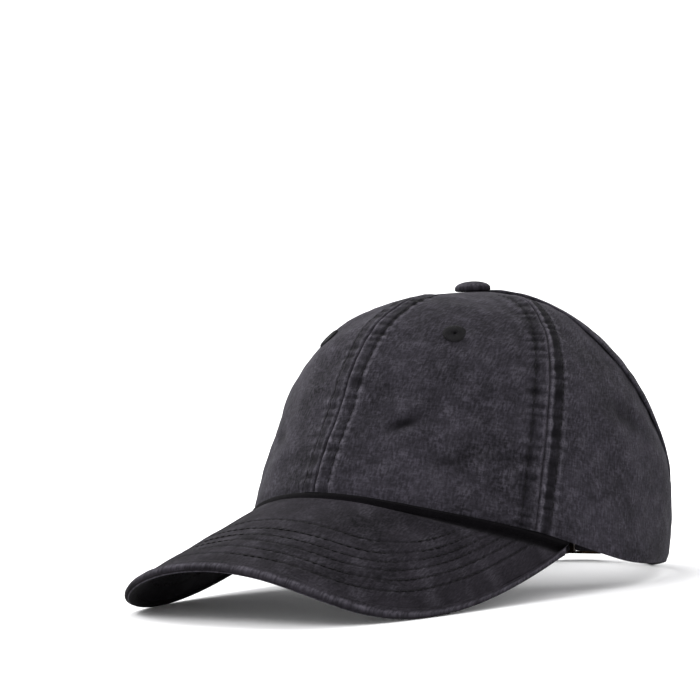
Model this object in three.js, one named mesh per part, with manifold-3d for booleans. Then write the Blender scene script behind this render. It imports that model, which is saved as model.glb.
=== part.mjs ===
// Ponytail baseball cap in washed cotton twill, with a large open back and a buckled strap.
// Lengths are in millimetres. +Z is up, the brim points to -Y and the wearer's left is +X.
// The cap stands by itself on the side edges of its brim and on its two rear tabs.
import * as THREE from 'three';
import { mergeVertices } from 'three/addons/utils/BufferGeometryUtils.js';
import Module from 'manifold-3d';

const wasm = await Module();
wasm.setup();

// Crown: seen from above its lower edge is an ellipse, longer in front than behind
const halfWidth = 82;
const frontReach = 98;
const rearReach = 94;
const crownHeight = 122;
const buttonSetback = 12;
const frontLift = 45.5;
const wall = 1.4;
const sewingGap = 0.3;

// Height of the lower edge every 30 degrees from the front to the rear, as shares of frontLift
const edgeLifts = [1.0, 0.83, 0.54, 0.225, 0.125, 0.005, -0.06];

// Profile of the crown at four bearings from the front, 60 degrees apart. topReach and sideReach
// say how far out the profile's two handles lie, as shares of the plan radius, and sideHeight how
// high the lower handle stands, as a share of the profile's height.
const crownProfiles = [
  { topReach: 0.7, sideReach: 0.63, sideHeight: 0.85 },
  { topReach: 0.62, sideReach: 0.9, sideHeight: 0.8 },
  { topReach: 0.42, sideReach: 1.12, sideHeight: 0.74 },
  { topReach: 0.42, sideReach: 1.05, sideHeight: 0.58 },
];

// Seams: the side seams leave the lower edge at sideSeamAngle and fan out towards the button
const sideSeamAngle = 56;
const sideSeamFan = 0.54;
const seamBandWidth = 7;
const seamBandEase = 0.3;
const seamBandRise = 0.5;
const seamBandStart = 0.1;
const seamBandFull = 0.3;

// Ponytail opening: its edge runs from behind the button to the top of each rear tab.
// The handles of that curve are shares of the crown's plan, across and towards the back.
const openingSetback = 0.105;
const openingTopHandle = 0.667;
const openingSideHandle = { across: 0.68, back: 0.6 };
const tabAngle = 158.7;
const tabTop = 0.876;

// Soft creases in the crown. bearing and down place each one, as degrees from the front and as a
// share of the way from the button to the lower edge; turn is degrees from level. length, width and
// depth are shares of the largest crease's size.
const creaseLength = 36;
const creaseWidth = 9;
const creaseDepth = 1.1;
const creases = [
  { bearing: 21, down: 0.83, turn: 24, length: 0.67, width: 0.67, depth: 1.0 },
  { bearing: 33, down: 0.9, turn: 12, length: 0.56, width: 0.78, depth: 0.7 },
  { bearing: -24, down: 0.86, turn: -20, length: 0.72, width: 0.89, depth: 0.6 },
  { bearing: 96, down: 0.72, turn: -30, length: 0.94, width: 1.0, depth: 0.7 },
  { bearing: -100, down: 0.7, turn: 34, length: 1.0, width: 1.0, depth: 0.8 },
];

// Binding of the opening
const bindingWidth = 10;
const bindingTopWidth = 5;
const bindingThickness = 0.9;
const bindingWideFrom = 0.06;
const bindingWideAt = 0.3;
const bindingTurnFrom = 0.8;

// Button and eyelets
const buttonRadius = 7.6;
const buttonHeight = 4.2;
const buttonRimShare = 0.3;
const buttonFootShare = 0.93;
const rivetRadius = 1.5;
const washerRadius = 4.5;
const washerThickness = 1;
const eyeletHole = 1.1;
const eyeletRadius = 4.9;
const eyeletThread = 0.8;
const eyeletBearing = 33.2;
const eyeletDown = 0.505;
const eyeletTurns = 15;

// Brim: ruled from the crown's lower edge to an outer edge that dips at the sides
const brimAngle = 67.5;
const brimLength = 64.2;
const brimThickness = 2.2;
const brimTipHeight = 21.6;
const brimTipHandle = 66.5;
const brimSideWidth = 70.8;
const brimShoulder = 12.9;
const brimDip = 44.4;
const brimHemWidth = 4.5;
const brimHemThickness = 0.8;

// Strap and slide buckle
const strapHeight = 18.5;
const strapThickness = 1.6;
const strapLift = 4.2;
const strapOverlap = 13;
const buckleOffset = -5;
const buckleWidth = 19;
const barThickness = 2;
const doubleBarWidth = 5.4;
const railHeight = 1.1;
const hangerRadius = 0.8;

const rad = THREE.MathUtils.degToRad;
const lerp = THREE.MathUtils.lerp;
const smoothstep = THREE.MathUtils.smoothstep;
const vec = (x, y, z) => new THREE.Vector3(x, y, z);

// Carries values at even bearings from front to rear smoothly round the crown, the same on both sides
function roundCrown(values) {
  const spans = values.length - 1;
  const share = values.map((_, node) => (node === 0 || node === spans ? 0.5 : 1));
  const waves = share.map((ends, wave) => {
    const sum = values.reduce((total, value, node) =>
      total + share[node] * value * Math.cos((wave * node * Math.PI) / spans), 0);
    return (2 / spans) * ends * sum;
  });
  return (bearing) => waves.reduce((total, size, wave) => total + size * Math.cos(wave * bearing), 0);
}

const lift = roundCrown(edgeLifts);
const topReach = roundCrown(crownProfiles.map((row) => row.topReach));
const sideReach = roundCrown(crownProfiles.map((row) => row.sideReach));
const sideHeight = roundCrown(crownProfiles.map((row) => row.sideHeight));

function bezier(a, b, c, d, t) {
  const s = 1 - t;
  return s * s * s * a + 3 * s * s * t * b + 3 * s * t * t * c + t * t * t * d;
}

function planRadius(bearing) {
  const reach = Math.cos(bearing) > 0 ? frontReach : rearReach;
  return 1 / Math.hypot(Math.sin(bearing) / halfWidth, Math.cos(bearing) / reach);
}

// The crown is charted on a disc: the button is its middle and the lower edge its rim.
// across runs to the wearer's left and back runs to the rear.
const chart = (bearing, down) => ({
  across: down * Math.sin(bearing),
  back: -down * Math.cos(bearing),
});

function crownRadius(bearing, down) {
  const reach = planRadius(bearing);
  return bezier(0, topReach(bearing) * reach, sideReach(bearing) * reach, reach, down);
}

function crownSurface({ across, back }) {
  const down = Math.hypot(across, back);
  const bearing = Math.atan2(across, -back);
  const radius = crownRadius(bearing, down);
  const edge = frontLift * lift(bearing);
  const side = lerp(edge, crownHeight, sideHeight(bearing));
  const setback = bezier(buttonSetback, buttonSetback, 0, 0, down);
  return vec(
    radius * Math.sin(bearing),
    setback - radius * Math.cos(bearing),
    bezier(crownHeight, crownHeight, side, edge, down),
  );
}

const smallStep = 1e-3;

// Surface directions per unit of the chart, and the outward normal
function crownDirections(place) {
  const { across, back } = place;
  const step = (a, b) => crownSurface({ across: across + a, back: back + b });
  const acrossWay = step(smallStep, 0).sub(step(-smallStep, 0)).divideScalar(2 * smallStep);
  const backWay = step(0, smallStep).sub(step(0, -smallStep)).divideScalar(2 * smallStep);
  const normal = acrossWay.clone().cross(backWay).normalize();
  return { acrossWay, backWay, normal };
}

// Moves a place on the chart by a tangent vector in millimetres
function chartShift(place, tangent, directions = crownDirections(place)) {
  const { acrossWay, backWay } = directions;
  const e = acrossWay.dot(acrossWay);
  const f = acrossWay.dot(backWay);
  const g = backWay.dot(backWay);
  const a = tangent.dot(acrossWay);
  const b = tangent.dot(backWay);
  const area = e * g - f * f;
  return { across: (a * g - b * f) / area, back: (b * e - a * f) / area };
}

const seamBearing = (down) => rad(sideSeamAngle) * (1 + sideSeamFan * (1 - down));

// Seam allowances make a low raised band along each seam, which fades under the button
function seamRelief({ across, back }) {
  const down = Math.hypot(across, back);
  const bearing = Math.abs(Math.atan2(across, -back));
  const radius = crownRadius(bearing, down);
  const fromSeam = Math.min(bearing, Math.abs(bearing - seamBearing(down))) * radius;
  const nearEdge = seamBandWidth * (1 - seamBandEase);
  const farEdge = seamBandWidth * (1 + seamBandEase);
  const band = 1 - smoothstep(fromSeam, nearEdge, farEdge);
  return seamBandRise * band * smoothstep(down, seamBandStart, seamBandFull);
}

function creaseRelief(point) {
  return creases.reduce((total, crease) => {
    const middle = crownSurface(chart(rad(crease.bearing), crease.down));
    const away = point.clone().sub(middle);
    const level = vec(Math.cos(rad(crease.bearing)), Math.sin(rad(crease.bearing)), 0);
    const along = away.dot(level) * Math.cos(rad(crease.turn)) + away.z * Math.sin(rad(crease.turn));
    const aside = Math.sqrt(Math.max(away.lengthSq() - along * along, 0));
    const alongShare = (2 * along) / (crease.length * creaseLength);
    const asideShare = (2 * aside) / (crease.width * creaseWidth);
    const fold = Math.exp(-(alongShare ** 2) - asideShare ** 2);
    return total - creaseDepth * crease.depth * fold;
  }, 0);
}

// Cloth goes flat where the cap stands on it
const flattened = (point) => point.setZ(Math.max(point.z, 0));

// A point at a height above the crown's outer face
function onCrown(place, height = 0) {
  const point = crownSurface(place);
  const { normal } = crownDirections(place);
  const relief = seamRelief(place) + creaseRelief(point);
  return flattened(point.addScaledVector(normal, height + relief));
}

function closedGeometry(positions, indices) {
  const geometry = new THREE.BufferGeometry();
  geometry.setAttribute('position', new THREE.Float32BufferAttribute(positions, 3));
  geometry.setIndex(indices);
  const a = vec(0, 0, 0);
  const b = vec(0, 0, 0);
  const c = vec(0, 0, 0);
  let volume = 0;
  for (let i = 0; i < indices.length; i += 3) {
    a.fromArray(positions, indices[i] * 3);
    b.fromArray(positions, indices[i + 1] * 3);
    c.fromArray(positions, indices[i + 2] * 3);
    volume += a.dot(b.cross(c));
  }
  if (volume < 0) {
    for (let i = 0; i < indices.length; i += 3) {
      [indices[i], indices[i + 1]] = [indices[i + 1], indices[i]];
    }
    geometry.setIndex(indices);
  }
  geometry.computeVertexNormals();
  return geometry;
}

// A sheet with a wall: place(u, v, face) gives a point of the outer face (0) or the inner one (1)
function sheet(columns, rows, place) {
  const positions = [];
  const indices = [];
  const count = columns.length * rows.length;
  const at = (face, row, column) => face * count + row * columns.length + column;
  for (const face of [0, 1]) {
    for (const v of rows) {
      for (const u of columns) {
        positions.push(...place(u, v, face).toArray());
      }
    }
  }
  const quad = (a, b, c, d) => indices.push(a, b, c, a, c, d);
  const lastRow = rows.length - 1;
  const lastColumn = columns.length - 1;
  for (let row = 0; row < lastRow; row += 1) {
    for (let column = 0; column < lastColumn; column += 1) {
      quad(at(0, row, column), at(0, row, column + 1), at(0, row + 1, column + 1), at(0, row + 1, column));
      quad(at(1, row, column), at(1, row + 1, column), at(1, row + 1, column + 1), at(1, row, column + 1));
    }
    quad(at(0, row, 0), at(0, row + 1, 0), at(1, row + 1, 0), at(1, row, 0));
    quad(at(0, row, lastColumn), at(1, row, lastColumn), at(1, row + 1, lastColumn),
      at(0, row + 1, lastColumn));
  }
  for (let column = 0; column < lastColumn; column += 1) {
    quad(at(0, 0, column), at(1, 0, column), at(1, 0, column + 1), at(0, 0, column + 1));
    quad(at(0, lastRow, column), at(0, lastRow, column + 1), at(1, lastRow, column + 1),
      at(1, lastRow, column));
  }
  return closedGeometry(positions, indices);
}

// A closed band swept through stations: place(station, point of the section) gives each vertex
function sweep(stations, section, place) {
  const positions = [];
  const indices = [];
  const size = section.length;
  for (const station of stations) {
    for (const point of section) {
      positions.push(...place(station, point).toArray());
    }
  }
  const last = (stations.length - 1) * size;
  for (let ring = 0; ring < last; ring += size) {
    for (let i = 0; i < size; i += 1) {
      const j = (i + 1) % size;
      indices.push(ring + i, ring + j, ring + size + j, ring + i, ring + size + j, ring + size + i);
    }
  }
  const outline = section.map((point) => new THREE.Vector2(point.along, point.height));
  const contour = THREE.ShapeUtils.isClockWise(outline);
  for (const face of THREE.ShapeUtils.triangulateShape(outline, [])) {
    const sameWay = THREE.ShapeUtils.isClockWise(face.map((i) => outline[i])) === contour;
    const [a, b, c] = sameWay ? face : face.reverse();
    indices.push(a, c, b, last + a, last + b, last + c);
  }
  return closedGeometry(positions, indices);
}

const steps = (count, from = 0, to = 1) =>
  Array.from({ length: count + 1 }, (_, i) => lerp(from, to, i / count));

// Solids for cutting and joining
function solidOf(geometry) {
  const bare = geometry.clone();
  bare.deleteAttribute('normal');
  bare.deleteAttribute('uv');
  const merged = mergeVertices(bare, 1e-4);
  return new wasm.Manifold(new wasm.Mesh({
    numProp: 3,
    vertProperties: new Float32Array(merged.attributes.position.array),
    triVerts: new Uint32Array(merged.index.array),
  }));
}

function geometryOf(solid) {
  const pieces = solid.decompose();
  const largest = pieces.reduce((a, b) => (a.volume() > b.volume() ? a : b));
  const mesh = largest.getMesh();
  const geometry = new THREE.BufferGeometry();
  geometry.setAttribute('position', new THREE.BufferAttribute(mesh.vertProperties, 3));
  geometry.setIndex(new THREE.BufferAttribute(mesh.triVerts, 1));
  geometry.computeVertexNormals();
  return geometry;
}

// Crown panels
const apexHole = 0.018;
const frontRows = 19;
const sideRows = 25;
const tabShare = 0.8;
const seamColumns = [0, 0.035, 0.075, 0.12];
const panelHeight = (face) => (face === 0 ? 0 : -wall);

// Half of the sewing gap is left on each side of a seam
const seamInset = (bearing, down) => sewingGap / 2 / crownRadius(bearing, down);

function frontPanel(side) {
  const columns = [...seamColumns, ...steps(4, 0.25, 0.75), ...seamColumns.map((u) => 1 - u).reverse()];
  return sheet(columns, steps(frontRows, apexHole, 1), (u, down, face) => {
    const seam = seamBearing(down);
    const trim = seamInset(seam, down);
    const bearing = lerp(trim, seam - trim, u);
    return onCrown(chart(side * bearing, down), panelHeight(face));
  });
}

// Edge of the ponytail opening, from behind the button (0) to the foot of the tab (1)
function openingEdge(share) {
  const corner = chart(rad(tabAngle), tabTop);
  const t = Math.min(share / tabShare, 1);
  const curve = {
    across: bezier(0, openingTopHandle, openingSideHandle.across, corner.across, t),
    back: bezier(openingSetback, openingSetback, openingSideHandle.back, corner.back, t),
  };
  const foot = Math.max(share - tabShare, 0) / (1 - tabShare);
  const drop = lerp(1, 1 / tabTop, foot);
  return { across: curve.across * drop, back: curve.back * drop };
}

// A patch between the side seam, the opening and the hem
function sidePanel(side) {
  const seam = (v) => {
    const down = lerp(apexHole, 1, v);
    const bearing = seamBearing(down);
    return chart(bearing + seamInset(bearing, down), down);
  };
  const rear = {
    across: seamInset(Math.PI, openingSetback) * openingSetback,
    back: openingSetback,
  };
  const opening = (v) => (v === 0 ? rear : openingEdge(v));
  const hemStart = rad(sideSeamAngle) + seamInset(rad(sideSeamAngle), 1);
  const hem = (u) => chart(lerp(hemStart, rad(tabAngle), u), 1);
  const patch = (u, v, key) => {
    const between = (a, b) => lerp(a[key], b[key], u);
    const hemBow = hem(u)[key] - between(seam(1), opening(1));
    return between(seam(v), opening(v)) + v * hemBow;
  };
  const columns = [...seamColumns, ...steps(10, 0.18, 0.9), 0.95, 1];
  return sheet(columns, steps(sideRows), (u, v, face) => {
    const place = { across: side * patch(u, v, 'across'), back: patch(u, v, 'back') };
    return onCrown(place, panelHeight(face));
  });
}

// A place on the crown at a distance in from the opening's edge. side runs from -1 to 1.
// Near the tabs the way in turns until it runs down the tab's end.
function besideOpening(side, inward, height) {
  const edge = (share) => {
    const place = openingEdge(Math.abs(share));
    return { across: Math.sign(share) * place.across, back: place.back };
  };
  const place = edge(side * tabShare);
  const last = tabShare - smallStep;
  const middle = THREE.MathUtils.clamp(side * tabShare, -last, last);
  const ahead = crownSurface(edge(middle + smallStep));
  const behind = crownSurface(edge(middle - smallStep));
  const directions = crownDirections(place);
  const inwardWay = ahead.sub(behind).cross(directions.normal).normalize();
  const shift = chartShift(place, inwardWay, directions);
  const tab = chart(Math.sign(side) * rad(tabAngle), 1);
  const tabLength = vec(0, 0, 0)
    .addScaledVector(directions.acrossWay, tab.across)
    .addScaledVector(directions.backWay, tab.back)
    .length();
  const turn = smoothstep(Math.abs(side), bindingTurnFrom, 1);
  return onCrown({
    across: place.across + inward * lerp(shift.across, tab.across / tabLength, turn),
    back: place.back + inward * lerp(shift.back, tab.back / tabLength, turn),
  }, height);
}

// The section of the binding is a fold: share runs in over its width, past runs out beyond the cloth
function openingBinding() {
  const over = sewingGap + bindingThickness;
  const section = [
    { share: 1, height: sewingGap },
    { share: 1, height: over },
    { share: 0.5, height: over },
    { share: 0, height: over },
    { share: 0, past: over, height: -wall * 0.2 },
    { share: 0, past: over, height: -wall * 0.8 },
    { share: 0, height: -wall - over },
    { share: 0.5, height: -wall - over },
    { share: 1, height: -wall - over },
    { share: 1, height: -wall - sewingGap },
    { share: 0.5, height: -wall - sewingGap },
    { share: 0, past: sewingGap, height: -wall - sewingGap },
    { share: 0, past: sewingGap, height: sewingGap },
    { share: 0.5, height: sewingGap },
  ];
  const outline = section.map(({ share, past = 0, height }) =>
    ({ along: share * bindingWidth - past, height }));
  const width = (side) => {
    const widening = smoothstep(Math.abs(side), bindingWideFrom, bindingWideAt);
    return lerp(bindingTopWidth, bindingWidth, widening);
  };
  return sweep(steps(2 * sideRows * tabShare, -1, 1), outline, (side, { along, height }) => {
    const narrowing = along > 0 ? width(side) / bindingWidth : 1;
    return besideOpening(side, along * narrowing, height);
  });
}

// Covered button on its rivet, which holds the panels between the button and a small washer
function topButton() {
  const seat = sewingGap;
  const inside = -wall - sewingGap;
  const rim = buttonHeight * buttonRimShare;
  const dome = steps(6).map((t) => new THREE.Vector2(
    buttonRadius * Math.cos((t * Math.PI) / 2),
    seat + rim + (buttonHeight - rim) * Math.sin((t * Math.PI) / 2),
  ));
  const profile = [
    new THREE.Vector2(0, inside - washerThickness),
    new THREE.Vector2(washerRadius, inside - washerThickness),
    new THREE.Vector2(washerRadius, inside),
    new THREE.Vector2(rivetRadius, inside),
    new THREE.Vector2(rivetRadius, seat),
    new THREE.Vector2(buttonRadius * buttonFootShare, seat),
    ...dome,
  ];
  profile[profile.length - 1].x = 0;
  const geometry = new THREE.LatheGeometry(profile, 28);
  geometry.rotateX(Math.PI / 2);
  geometry.translate(0, buttonSetback, crownHeight);
  return geometryOf(solidOf(geometry));
}

// Stitched eyelet that wraps the edge of its hole
const eyeletPlace = (side) => chart(side * rad(eyeletBearing), eyeletDown);
const clothHole = eyeletHole + 2 * eyeletThread + sewingGap;

function eyelet(side) {
  const over = sewingGap + eyeletThread;
  const section = [
    { along: eyeletHole, height: -wall * 0.5 },
    { along: eyeletHole, height: over * 0.6 },
    { along: lerp(eyeletHole, eyeletRadius, 0.4), height: over },
    { along: eyeletRadius, height: over * 0.7 },
    { along: eyeletRadius, height: sewingGap },
    { along: clothHole - sewingGap, height: sewingGap },
    { along: clothHole - sewingGap, height: -wall - sewingGap },
    { along: eyeletRadius * 0.9, height: -wall - sewingGap },
    { along: eyeletRadius * 0.9, height: -wall - over },
    { along: eyeletHole, height: -wall - over },
  ];
  const centre = eyeletPlace(side);
  const directions = crownDirections(centre);
  const level = directions.acrossWay.clone().normalize();
  const upright = directions.normal.clone().cross(level);
  const positions = [];
  const indices = [];
  for (let turn = 0; turn < eyeletTurns; turn += 1) {
    const angle = (turn / eyeletTurns) * 2 * Math.PI;
    for (const point of section) {
      const tangent = level.clone().multiplyScalar(point.along * Math.cos(angle))
        .addScaledVector(upright, point.along * Math.sin(angle));
      const shift = chartShift(centre, tangent, directions);
      const place = { across: centre.across + shift.across, back: centre.back + shift.back };
      positions.push(...onCrown(place, point.height).toArray());
    }
  }
  const size = section.length;
  const count = eyeletTurns * size;
  for (let ring = 0; ring < count; ring += size) {
    const next = (ring + size) % count;
    for (let i = 0; i < size; i += 1) {
      const j = (i + 1) % size;
      indices.push(ring + i, ring + j, next + j, ring + i, next + j, next + i);
    }
  }
  return closedGeometry(positions, indices);
}

function pierced(side) {
  const centre = eyeletPlace(side);
  const { normal } = crownDirections(centre);
  const drill = new THREE.CylinderGeometry(clothHole, clothHole, wall * 8, 18);
  drill.applyQuaternion(new THREE.Quaternion().setFromUnitVectors(vec(0, 1, 0), normal));
  drill.translate(...onCrown(centre, -wall / 2).toArray());
  return geometryOf(solidOf(frontPanel(side)).subtract(solidOf(drill)));
}

// Brim
const brimHalf = brimThickness / 2;

function brimInner(u) {
  const bearing = u * rad(brimAngle);
  const point = onCrown(chart(bearing, 1), -wall);
  return point.setZ(point.z - sewingGap - brimHalf);
}

function brimOuter(u) {
  const t = Math.abs(u);
  const side = Math.sign(u);
  const tip = -frontReach - brimLength;
  const end = onCrown(chart(rad(brimAngle), 1), 0);
  return vec(
    side * bezier(0, brimTipHandle, brimSideWidth, end.x, t),
    bezier(tip, tip, tip + brimShoulder, end.y, t),
    bezier(brimTipHeight, brimTipHeight, brimTipHeight - brimDip, end.z - sewingGap - brimHalf, t),
  );
}

function brimFrame(u, v) {
  const onBrim = (at) => brimInner(at).lerp(brimOuter(at), v);
  const ahead = onBrim(Math.min(u + smallStep, 1));
  const along = ahead.sub(onBrim(Math.max(u - smallStep, -1))).normalize();
  const out = brimOuter(u).sub(brimInner(u));
  const normal = along.clone().cross(out).normalize();
  if (normal.z < 0) {
    normal.negate();
  }
  const outward = normal.clone().cross(along).normalize();
  if (outward.dot(out) < 0) {
    outward.negate();
  }
  return { point: onBrim(u), normal, outward };
}

const brimEnd = 0.985;
const allowanceAngle = 14;
const allowanceRows = [0.8, 0.9, 0.96, 1, 1.001];
// Stations lie closer towards the corners, where the brim is twisted most
const brimStations = steps(38, -90, 90).map((angle) => brimEnd * Math.sin(rad(angle)));

// The space that the crown's lower edge needs, which brim and hem are cut back from. Its rows are
// shares of the way down, and the last one, just past the edge, is the room under it.
function crownAllowance() {
  const span = rad(brimAngle + allowanceAngle);
  return solidOf(sheet(steps(48, -span, span), allowanceRows, (bearing, down, face) => {
    const height = face === 0 ? sewingGap : -wall - sewingGap;
    const point = onCrown(chart(bearing, Math.min(down, 1)), height);
    return down > 1 ? point.setZ(point.z - sewingGap) : point;
  }));
}

// The brim's board, or with some room round it, the channel that the hem folds over
function brimSheet(room) {
  const past = brimEnd + room / brimLength;
  const stations = room > 0 ? [-past, ...brimStations, past] : brimStations;
  return solidOf(sheet(stations, steps(6), (u, v, face) => {
    const depth = brimInner(u).distanceTo(brimOuter(u));
    const { point, normal } = brimFrame(u, v * (1 + room / depth));
    const half = brimHalf + room;
    return point.addScaledVector(normal, face === 0 ? half : -half);
  }));
}

function brimBoard() {
  return geometryOf(brimSheet(0).subtract(crownAllowance()));
}

// A rolled hem of cloth that is folded over the board's outer edge
function brimHem() {
  const thick = brimHalf + sewingGap + brimHemThickness;
  const edge = sewingGap + brimHemThickness;
  const section = [
    { along: -brimHemWidth, height: 0 },
    { along: -brimHemWidth, height: thick * 0.9 },
    { along: -brimHemWidth * 0.4, height: thick },
    { along: edge * 0.6, height: thick * 0.75 },
    { along: edge, height: 0 },
    { along: edge * 0.6, height: -thick * 0.75 },
    { along: -brimHemWidth * 0.4, height: -thick },
    { along: -brimHemWidth, height: -thick * 0.9 },
  ];
  const geometry = sweep(brimStations, section, (u, { along, height }) => {
    const depth = brimInner(u).distanceTo(brimOuter(u));
    const { point, normal, outward } = brimFrame(u, Math.max(1 + Math.min(along, 0) / depth, 0));
    point.addScaledVector(outward, Math.max(along, 0)).addScaledVector(normal, height);
    return flattened(point);
  });
  return geometryOf(solidOf(geometry).subtract(brimSheet(sewingGap)).subtract(crownAllowance()));
}

// Strap ring: it runs inside the tabs, clear of the binding that is folded over their top corners
const tabLean = planRadius(rad(tabAngle)) - crownRadius(rad(tabAngle), tabTop);
const ringInset = wall + bindingThickness + 2 * sewingGap + strapThickness / 2 + tabLean;
const ringAcross = halfWidth - ringInset;
const ringBack = rearReach - ringInset;

// Place on the ring at a distance along it from the rear centre, and a distance outwards
function ringPoint(along, outwards) {
  const count = 48;
  let angle = 0;
  for (let i = 0; i < count; i += 1) {
    const pace = Math.hypot(ringAcross * Math.cos(angle), ringBack * Math.sin(angle));
    angle += along / count / pace;
  }
  const normal = new THREE.Vector2(Math.sin(angle) / ringAcross, Math.cos(angle) / ringBack).normalize();
  return new THREE.Vector2(ringAcross * Math.sin(angle), ringBack * Math.cos(angle))
    .addScaledVector(normal, outwards);
}

const tabFoot = crownSurface(chart(rad(tabAngle), 1));
const tabAlong = (() => {
  let along = 0;
  while (ringPoint(along, 0).x < tabFoot.x) {
    along += 0.25;
  }
  return along;
})();

// A webbing ribbon that stands on edge, along a route of [along, outwards] points of the ring
function ribbon(route) {
  const curve = new THREE.CatmullRomCurve3(
    route.map(([along, outwards]) => {
      const point = ringPoint(along, outwards);
      return vec(point.x, point.y, 0);
    }), false, 'centripetal');
  const count = 44;
  const left = [];
  const right = [];
  for (let i = 0; i <= count; i += 1) {
    const point = curve.getPointAt(i / count);
    const along = curve.getTangentAt(i / count);
    const aside = new THREE.Vector2(-along.y, along.x).multiplyScalar(strapThickness / 2);
    left.push(new THREE.Vector2(point.x, point.y).add(aside));
    right.push(new THREE.Vector2(point.x, point.y).sub(aside));
  }
  const shape = new THREE.Shape([...left, ...right.reverse()]);
  const geometry = new THREE.ExtrudeGeometry(shape, { depth: strapHeight, bevelEnabled: false });
  geometry.translate(0, 0, strapLift);
  return geometryOf(solidOf(geometry));
}

// Buckle layout on the ring: the front bars stand proud of the strap that passes behind them
const frameBack = strapThickness / 2 + sewingGap;
const frameMiddle = frameBack + barThickness / 2;
const wrap = barThickness / 2 + sewingGap + strapThickness / 2;
const outerBar = buckleOffset + buckleWidth / 2 - barThickness / 2;
const innerBar = buckleOffset - buckleWidth / 2 + doubleBarWidth / 2;
const middleBar = buckleOffset - barThickness / 4;
const hangerBar = innerBar - doubleBarWidth / 8;
const hangerBack = -strapThickness / 2 - sewingGap - hangerRadius;
const returnBack = -strapThickness - sewingGap;

function longStrap() {
  const over = frameMiddle + wrap;
  const under = frameMiddle - wrap;
  return ribbon([
    [tabAlong + strapOverlap, 0],
    [tabAlong, 0],
    [lerp(tabAlong, outerBar, 0.5), 0],
    [outerBar + barThickness, 0],
    [outerBar - barThickness * 0.5, 0.2],
    [lerp(outerBar, middleBar, 0.5), over * 0.8],
    [middleBar + wrap * 0.3, over],
    [middleBar - wrap * 0.75, frameMiddle + wrap * 0.66],
    [middleBar - wrap, frameMiddle],
    [middleBar - wrap * 0.75, frameMiddle - wrap * 0.66],
    [middleBar + wrap * 0.2, under - sewingGap],
    [lerp(outerBar, middleBar, 0.55), returnBack],
    [outerBar, returnBack],
    [outerBar + strapOverlap, returnBack],
  ]);
}

function shortStrap() {
  const turn = hangerRadius + sewingGap + strapThickness / 2;
  const back = hangerBack - turn;
  return ribbon([
    [-tabAlong - strapOverlap, 0],
    [-tabAlong, 0],
    [lerp(-tabAlong, hangerBar, 0.6), 0],
    [hangerBar, 0],
    [hangerBar + turn * 0.75, hangerBack + turn * 0.66],
    [hangerBar + turn, hangerBack],
    [hangerBar + turn * 0.75, hangerBack - turn * 0.66],
    [hangerBar, back],
    [hangerBar - strapThickness * 3, lerp(back, returnBack, 0.6)],
    [hangerBar - strapThickness * 6, returnBack],
    [hangerBar - strapThickness * 8, returnBack],
  ]);
}

function strapBuckle() {
  const top = strapLift + strapHeight + sewingGap;
  const bottom = strapLift - sewingGap;
  const middle = (top + bottom) / 2;
  const tall = top - bottom + 2 * railHeight;
  const boxAt = (along, outwards, width, depth, height, z) => {
    const box = new THREE.BoxGeometry(width, depth, height);
    box.translate(along - buckleOffset, outwards, z);
    return solidOf(box);
  };
  const barAt = (along, outwards, radius) => {
    const bar = new THREE.CylinderGeometry(radius, radius, tall - railHeight, 12);
    bar.rotateX(Math.PI / 2);
    bar.translate(along - buckleOffset, outwards, middle);
    return solidOf(bar);
  };
  const ridge = doubleBarWidth * 0.45;
  const seat = ringPoint(buckleOffset, 0);
  const ahead = ringPoint(buckleOffset + 1, 0);
  const behind = ringPoint(buckleOffset - 1, 0);
  const turn = ahead.sub(behind).angle();
  const hanger = ringPoint(hangerBar, hangerBack).sub(seat).rotateAround(new THREE.Vector2(), -turn);
  const hangerAlong = hanger.x + buckleOffset;
  const frame = [
    boxAt(outerBar, frameMiddle, barThickness, barThickness, tall, middle),
    boxAt(innerBar, frameBack + barThickness * 0.3, doubleBarWidth, barThickness * 0.6, tall, middle),
    boxAt(innerBar - doubleBarWidth / 2 + ridge / 2, frameMiddle, ridge, barThickness, tall, middle),
    boxAt(innerBar + doubleBarWidth / 2 - ridge / 2, frameMiddle, ridge, barThickness, tall, middle),
    barAt(middleBar, frameMiddle, barThickness / 2),
    barAt(hangerAlong, hanger.y, hangerRadius),
  ];
  const bracketDepth = frameMiddle - hanger.y + hangerRadius;
  for (const z of [top + railHeight / 2, bottom - railHeight / 2]) {
    frame.push(
      boxAt(buckleOffset, frameMiddle, buckleWidth, barThickness, railHeight, z),
      boxAt(hangerAlong, frameMiddle - bracketDepth / 2, hangerRadius * 2, bracketDepth, railHeight, z),
    );
  }
  const geometry = geometryOf(frame.reduce((whole, bar) => whole.add(bar)));
  geometry.rotateZ(turn);
  geometry.translate(seat.x, seat.y, 0);
  return geometry;
}

// Finishes
const washedTwill = { color: 0x3b393f, roughness: 0.93, metalness: 0 };
const brimTwill = { color: 0x2c2a30, roughness: 0.93, metalness: 0 };
const strapTwill = { color: 0x1d1b20, roughness: 0.9, metalness: 0 };
const threadBlack = { color: 0x17161a, roughness: 0.8, metalness: 0 };
const antiqueBrass = { color: 0x3a2f22, roughness: 0.42, metalness: 0.9 };

const cap = new THREE.Group();

function piece(name, geometry, finish) {
  const mesh = new THREE.Mesh(geometry, new THREE.MeshStandardMaterial(finish));
  mesh.name = name;
  cap.add(mesh);
}

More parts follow.
